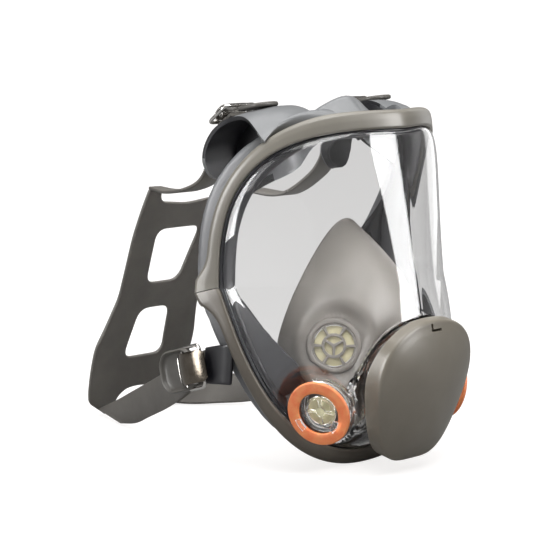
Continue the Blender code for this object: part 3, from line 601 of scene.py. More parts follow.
DARK_STEEL = surface("buckle_plate_steel", (0.1, 0.085, 0.068), (0.17, 0.148, 0.122), (0.12, 0.22),
                     metallic=1.0, tone_scale=140, grain_scale=3500, wave=0.1, wave_scale=160, edge=0.4)
LENS_CLEAR = glass("clear_polycarbonate", (0.985, 0.985, 0.985), 0.012, (0.93, 0.93, 0.93))
PORT_CLEAR = glass("port_polycarbonate", (0.93, 0.94, 0.93), 0.06, (0.85, 0.85, 0.84))
SMOKY = glass("smoky_plastic", (0.3, 0.27, 0.26), 0.08, (0.2, 0.18, 0.17))


COVER_PLACE = axis_place(COVER_CENTRE, COVER_NORMAL)


# ---- lens opening
def rim_half_width(z):
    rise = z - SEAM_Z
    reach, power = (RIM_RISE, BROW_POWER) if rise >= 0 else (RIM_DROP, CHIN_POWER)
    return RIM_HALF_WIDTH * max(0.0, 1 - (abs(rise) / reach) ** power) ** (1 / power)


def rim_back(z):
    part = min(rim_half_width(z) / RIM_HALF_WIDTH, 1.0)
    if z >= SEAM_Z:
        return TEMPLE_BACK * (1 - (1 - part ** BROW_WRAP) ** (1 / BROW_WRAP))
    rest = TEMPLE_BACK - CHIN_BACK
    return CHIN_BACK + rest * (1 - (1 - part ** CHIN_WRAP) ** (1 / CHIN_WRAP))


def rim_quarter(upper):
    reach, power = (RIM_RISE, BROW_POWER) if upper else (-RIM_DROP, CHIN_POWER)
    points = []
    for turn in np.linspace(0, math.pi / 2, 900):
        z = SEAM_Z + reach * math.cos(turn) ** (2 / power)
        x = RIM_HALF_WIDTH * math.sin(turn) ** (2 / power)
        points.append((x, rim_back(z), z))
    return resample(points, QUARTER)


def rim_loop():
    left = list(rim_quarter(True)) + list(rim_quarter(False))[-2::-1]
    right = [p * (-1, 1, 1) for p in left[-2:0:-1]]
    return np.array(left + right)


def rim_axes(points):
    """Two directions at each rim point: across the clamp band and out of it."""
    across, outward = [], []
    for point, ahead in zip(points, np.roll(points, -1, 0) - np.roll(points, 1, 0)):
        along = unit(ahead)
        radial = unit(np.cross(BACK, along))
        if radial @ (point - (0, 0, SEAM_Z)) < 0:
            radial = -radial
        wrap = smoothstep(0.45, 1.0, abs(point[0]) / RIM_HALF_WIDTH)
        lean = math.radians(12 + 58 * wrap)
        o = radial * math.cos(lean) + BACK * math.sin(lean)
        o = unit(o - along * (o @ along))
        n = radial * math.sin(lean) - BACK * math.cos(lean)
        across.append(o)
        outward.append(unit(n - along * (n @ along) - o * (n @ o)))
    return np.array(across), np.array(outward)


RIM = rim_loop()
ACROSS, OUTWARD = rim_axes(RIM)
SEAM_LEFT = QUARTER
SEAM_RIGHT = 3 * QUARTER


def band_width(point):
    end = BAND_BROW if point[2] > SEAM_Z else BAND_CHIN
    return end + (BAND_TEMPLE - end) * smoothstep(0.45, 1.0, abs(point[0]) / RIM_HALF_WIDTH)


# ---- lens
def soft_max(a, b, radius):
    if radius <= 0 or abs(a - b) >= 4 * radius:
        return max(a, b)
    return max(a, b) + (4 * radius - abs(a - b)) ** 2 / (16 * radius)


def lens_faces(x, z):
    """How far back each face of the lens lies: visor, cheek, outlet plane and chin."""
    half = max(rim_half_width(z), 0.01)
    back = rim_back(z)
    part = min(abs(x) / half, 1.0)
    front = -VISOR_LEAN * (SEAM_Z + RIM_RISE - z)
    visor = back - (back - front) * (1 - part ** VISOR_POWER) ** (1 / VISOR_POWER)
    cheek_slope = 0.25 + 0.0062 * (105 - z)
    cheek = back - (half - abs(x)) / max(cheek_slope, 0.05)
    arch = math.hypot(x, max(z - COVER_CENTRE.z, 0.0))
    plane = -0.6 - math.tan(COVER_TILT) * (z - 55.1) - 60 * smoothstep(41, 53, arch)
    chin_part = min(max((42 - z) / (42 - SEAM_Z + RIM_DROP), 0.0), 1.0)
    chin = CHIN_BACK - 21 * math.sqrt(1 - chin_part ** 2) - 60 * smoothstep(38, 42, z)
    return visor, cheek, plane, chin


def lens_depth(x, z):
    part = min(abs(x) / max(rim_half_width(z), 0.01), 1.0)
    soft = 1.2 * (1 - part ** 4)
    depth, *others = lens_faces(x, z)
    for other in others:
        depth = soft_max(depth, other, soft)
    return min(depth, rim_back(z))


def lens_inward(point):
    x, z = point[0], point[2]
    slope_x = lens_depth(x + 0.5, z) - lens_depth(x - 0.5, z)
    slope_z = lens_depth(x, z + 0.5) - lens_depth(x, z - 0.5)
    return unit((-slope_x, 1.0, -slope_z))


def flattened(point, centre, normal, depth, inner, outer):
    """The point drawn to a flat round patch on its own side of the mask."""
    side = -1 if point[0] < 0 else 1
    centre, normal = mirrored(centre, side), mirrored(normal, side)
    here = Vector(point) - centre
    height = here.dot(normal)
    radius = (here - normal * height).length
    if height < -40 or here.length > 2 * outer:
        return np.array(point)
    weight = 1 - smoothstep(inner, outer, radius)
    return np.array(Vector(point) + normal * (weight * (-depth - height)))


def lens_surface(point):
    point = np.array((point[0], lens_depth(point[0], point[2]), point[2]))
    return flattened(point, PORT_CENTRE, PORT_NORMAL, PORT_SEAT_DEPTH, 21, 32)


def lens_spoke(start):
    centre = np.array((0.0, 0.0, LENS_CENTRE_Z))
    reach = 1 - np.linspace(0, 1, 200) ** 2
    fine = [start] + [lens_surface(centre + (start - centre) * r) for r in reach[1:]]
    return resample(fine, LENS_RINGS)


def build_lens():
    spokes = [lens_spoke(p) for p in RIM[:2 * QUARTER + 1]]
    spokes += [s * (-1, 1, 1) for s in spokes[-2:0:-1]]
    flange = RIM + ACROSS * 4.2 - OUTWARD * 0.2
    middle = RIM + ACROSS * 2.1 - OUTWARD * 0.1
    rows = [flange, middle] + [np.array([s[r] for s in spokes]) for r in range(LENS_RINGS)]
    ports = [on_side(PORT_CENTRE, PORT_NORMAL, side) for word, side in SIDES]
    holes = [(place, 13.0) for place in ports] + [(COVER_PLACE, 27.0)]
    lens = skin("visor_lens", rows, LENS_WALL, LENS_CLEAR, closed=True, pole=spokes[0][-1], offset=1.0,
                holes=holes, edge=0, angle=60)
    bosses = [turned("port_boss", [(18.4, -4.8), (18.4, -8.2), (13.1, -8.2), (13.1, -4.8)], place,
                     LENS_CLEAR, 96, 0.4) for place in ports]
    bosses.append(turned("adapter_boss", [(33.0, -14.2), (33.4, -19.8), (27.1, -19.8), (27.1, -14.2)],
                         COVER_PLACE, LENS_CLEAR, 128, 0.5))
    settle(join("visor_lens", [lens] + bosses), "lens")


# ---- clamp frame
def band_section(index, reach, shift=0.0):
    """The U-shaped band around the lens edge, with softened corners."""
    point = RIM[index]
    width = band_width(point)
    wide = width + reach
    inner = width - 2.6
    outer_shape = [(0, 0.6), (0, 2.9), (1.0, 3.7), (wide * 0.5, 3.95), (wide - 1.8, 3.5), (wide, 1.6),
                   (wide, -6.6), (wide - 1.4, -8.6), (3, -8.6)]
    hollow = [(3, -6.8), (inner, -6.8), (inner, 0.6)]
    shape = soften(outer_shape + hollow, 1.1, 4)
    base = point + np.array((0, 0, shift))
    return [base + ACROSS[index] * o + OUTWARD[index] * n for o, n in shape]


def boss_reach(point):
    return BOSS_REACH * math.exp(-((point[2] - SEAM_Z) / BOSS_LENGTH) ** 2)


def build_frames():
    count = len(RIM)
    over = [(i % count) for i in range(SEAM_RIGHT, SEAM_LEFT + count + 1)]
    under = list(range(SEAM_LEFT, SEAM_RIGHT + 1))
    made = {}
    for half, indexes, shift, mat in (("upper", over, 0.25, UPPER_PLASTIC),
                                      ("lower", under, -0.25, SHADED_LOWER_PLASTIC)):
        sections = []
        for position, index in enumerate(indexes):
            at_end = position in (0, len(indexes) - 1)
            sections.append(band_section(index, boss_reach(RIM[index]), shift if at_end else 0))
        made[half] = loft(half + "_frame_band", sections, mat, angle=50)
    for word, side in SIDES:
        index = SEAM_LEFT if side > 0 else SEAM_RIGHT
        width = band_width(RIM[index])
        centre = Vector(RIM[index] + ACROSS[index] * (width + 3.6) - OUTWARD[index] * 2.6)
        place = Matrix.Translation(centre)
        for band in made.values():
            tool = turned("screw_room", [(0, 40), (3.4, 40), (3.4, 6), (1.9, 6), (1.9, -6), (3.4, -6),
                                         (3.4, -40), (0, -40)], place, STEEL, 32, 0)
            cut(band, tool, angle=50)
        screw = turned("seam_screw_" + word,
                       [(0, 10.2), (1.2, 10.2), (1.5, 9.8), (1.5, -6.3), (2.9, -6.3), (2.9, -7.8),
                        (2.3, -8.9), (0, -8.9)], place, STEEL, 48, 0.15)
        slot = plate("slot", [stadium(5.2, 0.8, 0.2, 2)], 1.4, STEEL,
                     shifted(place, -9.0), 0.05)
        cut(screw, slot)
        settle(screw, "frame_screw_" + word)
        nut = plate("seam_nut_" + word, [circle(2.9, 6), circle(2.0, 32)], 2.6, STEEL,
                    shifted(place, 7.6), 0.25)
        settle(nut, "frame_nut_" + word)
    for half, band in made.items():
        settle(band, half + "_frame")


# ---- seal and ears
def seal_row(point, across, outward):
    """The seal's section at a rim point, from the lens edge to the lip on the face."""
    width = band_width(point)
    side = abs(point[0]) / RIM_HALF_WIDTH
    wrap = smoothstep(0.3, 1.0, side)
    flank = smoothstep(0.2, 0.62, side)
    upper = smoothstep(SEAM_Z - 40, SEAM_Z + 60, point[2])
    radial = unit((across[0], 0.0, across[2]))
    bead = point + across * 4.2 - outward * 4.4
    throat = point - across * 1.2 - outward * 5.0
    neck = point - across * 2.6 - outward * 12.5
    rear = point + across * (1 + (width + 9.5) * wrap) - outward * (22 - 9.0 * wrap)
    brow = 16.5 * upper * (1 - smoothstep(0.0, 0.5, side))
    reach = (29 + 14 * upper) * (1 - flank) + (21 + 4 * wrap) * flank
    inset = (8.0 + 1.0 * wrap - 6.0 * upper * (1 - wrap)) * flank
    edge = point + radial * (brow - inset) + BACK * reach
    lip = edge - radial * 7 + BACK * 4
    tip = edge - radial * (14 + 6 * upper) + BACK * 2
    return smooth_path([bead, throat, neck, rear, edge, lip, tip], 44)


def build_seal():
    rows = np.array([seal_row(*each) for each in zip(RIM, ACROSS, OUTWARD)])
    grid = [rows[:, k] for k in range(rows.shape[1])]
    skirt = skin("face_seal_skirt", grid, SEAL_WALL, SEAL_RUBBER, closed=True, edge=0.8, angle=60)
    skirt.data.materials.append(BLACK_AND_SHADE_RUBBER)
    skirt.data.materials.append(TOP_LIT_RUBBER)
    # Faces that look inward below the brow take the near-black rubber, painted shade inside the seal; faces
    # above take the lighter rubber, painted light on the brow from the top lamp.
    for face in skirt.data.polygons:
        centre = np.array(face.center) / MM - SHIFT
        nearest = np.argmin(((RIM - centre) ** 2)[:, [0, 2]].sum(1))
        if np.array(face.normal) @ ACROSS[nearest] < -0.25 and centre[2] < 204:
            face.material_index = 1
        elif centre[2] > 196:
            face.material_index = 2
    beads = [wire("bead", RIM - ACROSS * inset + OUTWARD * lift, radius, BLACK_AND_SHADE_RUBBER, closed=True)
             for inset, lift, radius in ((1.0, 0.7, 0.9), (3.0, 0.25, 0.4))]
    seal = join("face_seal_skirt", [skirt, *beads])
    settle(seal, "face_seal")


def cheek_spoke(start):
    """A line behind the lens from its rim to the crease where the cheek ends."""
    centre = np.array((0.0, 0.0, LENS_CENTRE_Z))
    points = []
    for share in np.linspace(0, 0.8, 240):
        point = lens_surface(start + (centre - start) * share)
        visor, cheek, plane, chin = lens_faces(point[0], point[2])
        if max(cheek, chin) < max(visor, plane):
            break
        if np.linalg.norm(point - start) > 5.0:
            points.append(point + lens_inward(point) * CHEEK_DEPTH)
    return points


# The cheek linings are near-black sheets behind the lens up to the crease: painted shade on the inside of
# the seal seen through the lens.
def build_cheeks():
    for word, side in SIDES:
        starts = [p for p in RIM if p[0] * side > 0 and CHEEK_FOOT_Z < p[2] < SEAM_Z]
        spokes = [cheek_spoke(p) for p in starts]
        rows = [resample(spoke, 16) for spoke in spokes if len(spoke) > 3]
        bore = on_side(PORT_CENTRE, PORT_NORMAL, side)
        liner = skin("cheek_shade_lining_" + word, rows, CHEEK_WALL, BLACK_AND_SHADE_RUBBER, holes=[(bore, 19.6)], angle=60)
        settle(liner, "cheek_liner_" + word)


def build_ears():
    curl = [(42, 216.5), (50, 219.5), (60, 220.5), (72, 218), (84, 213.5), (95, 206), (102, 196),
            (104, 186), (103, 175)]
    for word, side in SIDES:
        path = smooth_path([(0.0, y, z) for y, z in curl], 60)
        rows = []
        for step, point in enumerate(path):
            part = step / (len(path) - 1)
            corner = 5.5 * (1 - math.sqrt(max(0.0, 1 - max(0.0, (part - 0.93) / 0.07) ** 2)))
            inner = EAR_INNER + 6 * smoothstep(0.0, 0.5, part) + 4 * smoothstep(0.85, 1.0, part) + corner
            outer = EAR_OUTER - 4 * smoothstep(0.0, 0.5, part) - 4 * smoothstep(0.85, 1.0, part) - corner
            columns = np.linspace(inner, outer + 5 * (1 - smoothstep(0.0, 0.4, part)), 17)
            drop = -0.014 * (1 - part) ** 2 * np.maximum(columns - 44, 0) ** 2
            rows.append([point + (side * c, 0, d) for c, d in zip(columns, drop)])
        root = rows[0]
        foot = []
        for p in root:
            index = min(range(QUARTER + 1), key=lambda i: abs(RIM[i][0] - abs(p[0])))
            spot = RIM[index] + ACROSS[index] * (band_width(RIM[index]) - 2.2) - OUTWARD[index] * 11.5
            foot.append(spot * (side, 1, 1))
        web = []
        for share in np.linspace(0, 1, 12, endpoint=False):
            web.append([f + (r - f) * share + np.array((0, -2.0, 5.0)) * math.sin(math.pi * share) * 0.6
                        for f, r in zip(foot, root)])
        # A sheet that closes the inside of the ear curl, in near-black rubber: painted shade.
        fold = []
        for step, row in enumerate(rows):
            depth = 0.72 * (1 - smoothstep(0.35, 1.0, step / (len(path) - 1))) + 0.12
            heart = np.array((row[0][0], 70.0, 192.0))
            fold.append([row[0] + (heart - row[0]) * depth * t for t in np.linspace(0.03, 1, 7)])
        ear = skin("strap_ear_upper_" + word, web + rows, EAR_WALL, TOP_LIT_RUBBER, edge=0.9, angle=60)
        # Faces inside the curl take the near-black rubber: painted shade.
        ear.data.materials.append(BLACK_AND_SHADE_RUBBER)
        for face in ear.data.polygons:
            c = np.array(face.center) / MM - SHIFT
            if c[1] > 47 and (c - (c[0], 72.0, 186.0)) @ np.array(face.normal) < 0:
                face.material_index = 1
        curl_shade_sheet = skin("fold", fold, 1.6, BLACK_AND_SHADE_RUBBER, edge=0.4, angle=60)
        ear = join("strap_ear_upper_" + word, [ear, curl_shade_sheet])
        settle(ear, "ear_upper_" + word)
        low = smooth_path([(84.0, 59, 67.8), (86.0, 65, 67.2), (85.6, 74, 65.6), (84.1, 83.5, 63.8)], 16)
        rows = []
        for step, point in enumerate(low):
            part = step / 16
            half = np.array((0, -1.5 + 0.5 * part, 13.0 - 1.6 * part))
            rows.append([point * (side, 1, 1) + half * s for s in np.linspace(-1, 1, 13)])
        # The lower ear is made wholly in the near-black rubber, which is painted shade.
        ear = skin("strap_ear_lower_" + word, rows, EAR_WALL, BLACK_AND_SHADE_RUBBER, edge=0.9, angle=60)
        settle(ear, "ear_lower_" + word)


# ---- filter ports
def build_ports():
    for word, side in SIDES:
        place = on_side(PORT_CENTRE, PORT_NORMAL, side)
        body = turned("port_tube_" + word,
                      [(11.3, 3.6), (11.4, 0.4), (12.5, 0.3), (12.5, -2.3), (20.6, -2.3), (20.8, -5.4),
                       (12.6, -5.6), (12.5, -17.0), (10.4, -17.0), (10.4, 3.6)], place, PORT_CLEAR, 96, 0.6)
        for start in (75, 195, 315):
            lug = plate("lug", [sector(10.9, 14.4, start, start + 34)], 1.9, PORT_CLEAR,
                        shifted(place, 2.5), 0.4)
            cut(body, lug, "UNION")
        settle(body, "port_body_" + word)
        gasket = turned("port_seal_ring_" + word,
                        [(19.6, 0.1), (20.2, -0.6), (20.2, -2.1), (13.0, -2.1), (13.0, -0.1), (15.2, 0.2)],
                        place, GASKET_RUBBER, 128, 0.5)
        settle(gasket, "port_gasket_" + word)
        ring = turned("port_nut_" + word,
                      [(16.8, -13.0), (16.8, -15.6), (13.0, -15.6), (13.0, -13.0)], place, PORT_CLEAR, 96)
        settle(ring, "port_lock_ring_" + word)
        holes = [sector(3.0, 8.2, 9 + 90 * k, 81 + 90 * k) for k in range(4)]
        seat = plate("port_spider_" + word, [circle(9.9)] + holes, 1.6, PORT_CLEAR,
                     shifted(place, -4.0), 0.3)
        settle(seat, "port_valve_seat_" + word)
        dome = [(0, 0.6), (3, 0.55), (6, 0.35), (8, 0.1), (9.2, -0.15), (9.3, -0.4), (8.9, -0.5),
                (6, -0.3), (0, -0.3)]
        flap = turned("port_disc_" + word, dome, shifted(place, -5.8), OLIVE_RUBBER, 72, 0.1)
        settle(flap, "port_valve_flap_" + word, "port_flap_" + word)


# ---- breathing-out side
def cover_outline():
    loop = []
    for turn in turns(120):
        rise = math.cos(turn)
        swing = math.sin(turn)
        power = 0.86 - 0.36 * smoothstep(0.3, -0.8, rise) if rise < 0.3 else 0.86
        x = COVER_HALF_WIDTH * math.copysign(abs(swing) ** power, swing) * (1 + 0.2 * rise)
        loop.append((x, COVER_HALF_HEIGHT * rise))
    return np.array(loop)


def build_cover():
    outline = cover_outline()
    depth = COVER_DEPTH - (COVER_DEPTH - COVER_TOP_DEPTH) * smoothstep(5, COVER_HALF_HEIGHT, outline[:, 1])
    rows = [np.column_stack((outline, -depth * share)) for share in (1.0, 0.85, 0.6, 0.35)]
    for inset, height in ((1.0, -1.9), (0.997, -1.1), (0.99, -0.45), (0.978, 0.0), (0.96, 0.35),
                          (0.935, 0.75), (0.905, 1.25)):
        rows.append(ring_at(outline, inset, height))
    for inset in np.linspace(0.87, 0.03, 22):
        height = 1.0 + (COVER_CROWN - 1.0) * (1 - (inset / 0.93) ** 2.1)
        rows.append(ring_at(outline, inset, height))
    cover = skin("valve_cover", rows, COVER_WALL, COVER_PLASTIC, closed=True, pole=(0, 0, COVER_CROWN),
                 offset=1.0, even=True, place=COVER_PLACE, edge=0.4, angle=60)
    notch = plate("notch", [soften([(-4.5, 38.6), (4.5, 38.6), (4.5, 40.4), (-2.7, 40.4), (-2.7, 43.6),
                                    (-4.5, 43.6)], 0.4, 2)], 12, COVER_PLASTIC,
                  shifted(COVER_PLACE, 2), 0.02)
    cut(cover, notch, angle=50)
    settle(cover, "front_cover", "cover")


def build_adapter():
    place = COVER_PLACE
    inner = ADAPTER_RADIUS - 3.6
    body = turned("exhale_adapter",
                  [(30.6, -10.2), (31.8, -10.8), (31.8, -12.2), (ADAPTER_RADIUS, -12.3),
                   (ADAPTER_RADIUS, -33.0), (inner, -33.0), (inner, -10.2)], place, SMOKY, 128, 0.5)
    settle(body, "centre_adapter")
    ring = [(30.6, -12.5), (30.9, -13.2), (30.6, -13.9), (27.4, -13.9), (27.4, -12.5)]
    gasket = turned("exhale_gasket", ring, place, GASKET_RUBBER, 128, 0.3)
    settle(gasket, "centre_gasket")
    ring = turned("exhale_lock_ring", [(30.2, -26.4), (30.2, -28.2), (26.9, -28.2), (26.9, -26.4)], place,
                  SMOKY, 128)
    settle(ring, "adapter_lock_ring")
    holes = [sector(5.0, 18.4, 6 + 60 * k, 54 + 60 * k) for k in range(6)]
    seat = plate("exhale_spider", [circle(inner - 0.6, 96)] + holes, 2.0, BLACK_PLASTIC,
                 shifted(place, -14.0), 0.3)
    settle(seat, "exhalation_valve_seat")
    disc = [(0, 0.9), (3, 0.7), (4, 0.35), (17, 0.3), (19.6, 0.35), (20, 0.0), (19.6, -0.4), (0, -0.4)]
    flap = turned("exhale_disc", disc, shifted(place, -12.0), VALVE_RUBBER, 96, 0.1)
    settle(flap, "exhalation_valve_flap", "exhalation_flap")


# ---- nose cup
def cup_rim(turn):
    rise = math.cos(turn)
    swing = math.sin(turn)
    middle = (CUP_TOP + CUP_BOTTOM) / 2
    z = middle + (CUP_TOP - middle) * rise
    x = CUP_HALF_WIDTH * math.copysign(abs(swing) ** 0.95, swing) * (1 - 0.42 * rise)
    return np.array((x, 46 + (CUP_TOP - z) * 0.17, z))


def build_nose_cup():
    ring_place = shifted(COVER_PLACE, -29.8)
    rows = []
    for share in np.linspace(0, 1, 48):
        row = []
        for turn in turns(128):
            spin = Vector((math.sin(turn), math.cos(turn), 0)) * 27.9
            start = np.array(ring_place @ spin)
            start[0] = -start[0] if start[0] * math.sin(turn) < 0 else start[0]
            end = cup_rim(turn)
            out = np.array((math.sin(turn), -0.75, 0.55 * math.cos(turn)))
            swell = 11.5 * math.sin(math.pi * share ** 0.8) * out / np.linalg.norm(out)
            point = start * (1 - share) + end * share + swell
            flat = flattened(point, CUP_VALVE_CENTRE, CUP_VALVE_NORMAL, 0, 18.5, 30)
            row.append(point + (flat - point) * smoothstep(0.0, 0.1, share))
        rows.append(row)
    holes = [(on_side(CUP_VALVE_CENTRE, CUP_VALVE_NORMAL, side), 14.6) for word, side in SIDES]
    cup = skin("inner_nose_cup", rows, CUP_WALL, CUP_RUBBER, closed=True, holes=holes, edge=0.7, angle=60)
    settle(cup, "nose_cup")
    for word, side in SIDES:
        place = on_side(CUP_VALVE_CENTRE, CUP_VALVE_NORMAL, side)
        ring = turned("valve_ring_" + word,
                      [(17.2, 1.2), (16.6, 2.4), (15.6, 3.0), (14.2, 3.0), (13.4, 2.2), (13.0, 1.4),
                       (13.0, -3.6), (14.0, -3.6), (14.0, 0.9), (16.6, 0.9)], place, CUP_RUBBER, 96, 0.3)
        holes = [sector(7.6, 12.6, 5 + 60 * k, 55 + 60 * k) for k in range(6)]
        holes += [sector(0, 5.8, 37 + 120 * k, 143 + 120 * k) for k in range(3)]
        face = plate("grid", [circle(13.45, 96)] + holes, 1.8, CUP_RUBBER,
                     shifted(place, 1.5), 0.4)
        grid = join("valve_ring_" + word, [ring, face])
        settle(grid, "nose_valve_grid_" + word)
        disc = [(0, 0.35), (9, 0.3), (12.2, 0.1), (12.3, -0.15), (12.0, -0.3), (0, -0.3)]
        flap = turned("nose_disc_" + word, disc, shifted(place, -0.2), VALVE_RUBBER, 72, 0.1)
        settle(flap, "nose_valve_flap_" + word, "nose_flap_" + word)


# ---- harness
def build_cradle():
    half = [(0, 163), (25, 166), (28, 178), (38, 178), (39.5, 160), (40, 140), (38, 115), (36.5, 93),
            (41, 70), (45, 54), (44.5, 35), (43.5, 20), (42, 12.5), (25, 1.6), (20.5, 6), (17, 14), (10, 19)]
    outline = half + [(0, 20)] + [(-x, y) for x, y in half[:0:-1]]
    windows = [[(-19.8, 144), (19.8, 144), (14.6, 101), (-14.6, 101)],
               [(-13.6, 81), (13.6, 81), (17.8, 43), (-17.8, 43)]]
    loops = [soften(outline, 6.5, 8)] + [soften(w, 8.5, 8) for w in windows]
    panel = plate("head_cradle", loops, 2.4, HARNESS_RUBBER, None, 0.9, 60)
    bm = bmesh.new()
    bm.from_mesh(panel.data)
    for axis, low, high in ((1, 8, 178), (0, -44, 44)):
        for level in range(low, high, 4):
            spot = [0.0, 0.0, 0.0]
            spot[axis] = level * MM
            way = [0, 0, 0]
            way[axis] = 1
            bmesh.ops.bisect_plane(bm, geom=bm.verts[:] + bm.edges[:] + bm.faces[:], dist=0.0000001,
                                   plane_co=spot, plane_no=way)
    for vert in bm.verts:
        x, y = vert.co.x / MM, vert.co.y / MM
        share = max(0.0, 1 - y / 56)
        bow = 1.6 * math.sin(math.pi * (y - 50) / 110) * (1 - (x / 46) ** 2) if y > 50 else 0.0
        vert.co.z += (8.5 * share ** 1.6 - bow) * MM
    bm.to_mesh(panel.data)
    bm.free()
    lean = Matrix.Rotation(math.pi / 2 + CRADLE_LEAN, 4, "X")
    panel.data.transform(metric(Matrix.Translation((0, CRADLE_FOOT_Y, 0)) @ lean))
    tidy(panel, 50)
    settle(panel, "cradle", "harness")


def ribbon(name, path, widths, half, teeth, slanted=False):
    """A flat strap with rounded edges; teeth holds the part of its length with cut edges."""
    length = np.linalg.norm(np.diff(path, axis=0), axis=1).sum()
    count = int(length / (TOOTH_PITCH / 2))
    t = np.linspace(0, 1, len(path))
    fine_t = np.linspace(0, 1, count + 1)
    points = np.stack([np.interp(fine_t, t, path[:, k]) for k in range(3)], 1)
    across = np.stack([np.interp(fine_t, t, widths[:, k]) for k in range(3)], 1)
    reach = np.interp(fine_t, t, half)
    along = np.gradient(points, axis=0)
    sections = []
    for k in range(count + 1):
        u = unit(along[k])
        w = unit(across[k] if slanted else across[k] - u * (across[k] @ u))
        n = unit(np.cross(u, w))
        h = reach[k]
        if teeth[0] < fine_t[k] < teeth[1]:
            h += TOOTH_DEPTH if k % 2 else -TOOTH_DEPTH
        sections.append([points[k] + w * a + n * b for a, b in stadium(STRAP_WALL, 2 * h, 0.8, 3)])
    return loft(name, sections, HARNESS_RUBBER, angle=38)


# Edges of the right lower strap, and the middle of the left one.
FOLD_TOP = [(-33, 247.5, 4.0), (-41, 218.5, 15.7), (-49, 191.5, 27.4), (-57, 165.1, 38.9),
            (-65, 139.4, 50.0), (-76, 112, 60.5), (-82.5, 97, 68.5), (-84.3, 82, 74.0)]
FOLD_FOOT = [(-43.8, 210.3, 1.2), (-48, 191, 5.2), (-53.5, 171.5, 13.2), (-60, 148, 23),
             (-68, 126, 33), (-77.5, 106, 42.5), (-82.8, 96, 48.5), (-84.3, 82, 53.0)]
LAID_PATH = [(33.4, 247.5, 6.4), (34.5, 240, 6.6), (42, 230, 7.4), (52, 217, 10), (66, 196, 13.5),
             (75, 170, 22), (76, 135, 46), (82.5, 104, 58.0), (84.3, 82, 63.5)]


def hang(strap, node_name):
    """A strap replaces its node; its place is baked into its mesh."""
    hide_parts(node_name)
    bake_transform(strap)


def build_straps():
    for word, side in SIDES:
        sag = 0.0 if side < 0 else -9.0
        upper = smooth_path([(33.2, 186.2, 161.8), (38, 165, 161.5 + sag / 2), (44, 140, 165 + sag),
                             (49, 119, 172 + sag / 3), (51, 109, 182), (51, 107, 194),
                             (51, 98.4, 207.3), (51, 86.5, 216.0)], 120)
        step = np.arange(121) * 18 / 120
        reach = 4.9 + 3.6 * smoothstep(0, 5, step)
        widths = np.tile(np.array((1.0, 0, 0)), (121, 1))
        strap = ribbon("head_strap_upper_" + word, upper * (side, 1, 1), widths, reach, (0.4, 0.97))
        hang(strap, "strap_upper_" + word)
        if side < 0:
            top, foot = smooth_path(FOLD_TOP, 160), smooth_path(FOLD_FOOT, 160)
            lower, widths = (top + foot) / 2, top - foot
            reach = np.linalg.norm(widths, axis=1) / 2
        else:
            lower = smooth_path(LAID_PATH, 160)
            step = np.arange(161) * 18 / 160
            turn = np.radians(32 + 54 * smoothstep(0.0, 7.0, step))
            lean = 0.3 * (1 - smoothstep(0, 12, step))
            widths = np.stack((np.cos(turn), lean, np.sin(turn)), 1)
            reach = 9.9 + 0.6 * smoothstep(0, 3, step)
        strap = ribbon("head_strap_lower_" + word, lower, widths, reach, (0.62, 0.97), side < 0)
        hang(strap, "strap_lower_" + word)


def oval_grip(name, place, mat, length=30, width=22, rim=1.0):
    """The strap-end grip: an oval pad with a raised round rim and a dished middle."""
    rows = []
    shape = [(0.82, -1.2), (0.94, -1.25), (0.985, -0.9), (1.0, -0.2), (0.995, 0.6), (0.965, 1.15),
             (0.92, 1.35), (0.875, 1.15), (0.845, 0.7), (0.82, 0.35), (0.74, 0.2), (0.5, 0.1), (0.2, 0.05)]
    outline = np.array(stadium(length, width, width * 0.41, 10))
    for share, height in shape:
        height *= rim if height > 0.2 else 1.0
        rows.append(ring_at(outline, share, height))
    count = len(outline)
    points = [p for row in rows for p in row]
    faces = grid_faces(len(rows), count, True)
    top = len(points)
    points += [(0, 0, 0.05), (0, 0, -1.1)]
    faces += fan(top - count, count, top) + fan(0, count, top + 1)
    return make(name, points, faces, mat, place, 60)


def buckle(name, centre, normal, along, plate_mat, span=(-8.6, 7.2), rise=3.2):
    """A bent steel plate over a wire frame, with a knurled roller."""
    place = axis_place(centre, normal, along)
    turn = np.array(place)
    def spot(p):
        return turn[:3, :3] @ np.array(p, float) + turn[:3, 3]
    loop = [spot((x, y, 0.0)) for x, y in stadium(18.6, 26.2, 3.6, 6)]
    ring = wire("wire", resample(loop + [loop[0]], 96)[:-1], 1.1, STEEL, closed=True)
    rows = []
    middle, reach = (span[0] + span[1]) / 2, (span[1] - span[0]) / 2
    for y in np.linspace(*span, 32):
        off = abs(y - middle) / reach
        half = 9.9 - 2.4 * max(0.0, (off - 0.72) / 0.28) ** 2
        rows.append([spot((x, y, 0.6 + rise * (1 - off ** 2.4) + 0.5 * (1 - (x / 10) ** 4)))
                     for x in np.linspace(-half, half, 17)])
    shell = skin("shell", rows, 0.9, plate_mat, edge=0.3, angle=50)
    lip = wire("lip", [spot((x, span[1] + 0.2, 0.7 + 0.5 * (1 - (x / 8) ** 4)))
                       for x in np.linspace(-7.6, 7.6, 24)], 0.8, STEEL)
    body = join("strap_buckle_" + name, [ring, shell, lip])
    settle(body, "buckle_frame_" + name, "buckle_" + name)
    sections = []
    for x in np.linspace(-10.2, 10.2, 60):
        edge = 0.35 if abs(x) > 9.9 else 0.0
        ring = []
        for k, a in enumerate(turns(24)):
            r = 1.7 - edge + (0.12 if k % 2 else -0.12)
            ring.append(spot((x, r * math.cos(a), r * math.sin(a))))
        sections.append(ring)
    roller = loft("strap_roller_" + name, sections, STEEL, angle=30)
    settle(roller, "buckle_roller_" + name, "buckle_" + name)


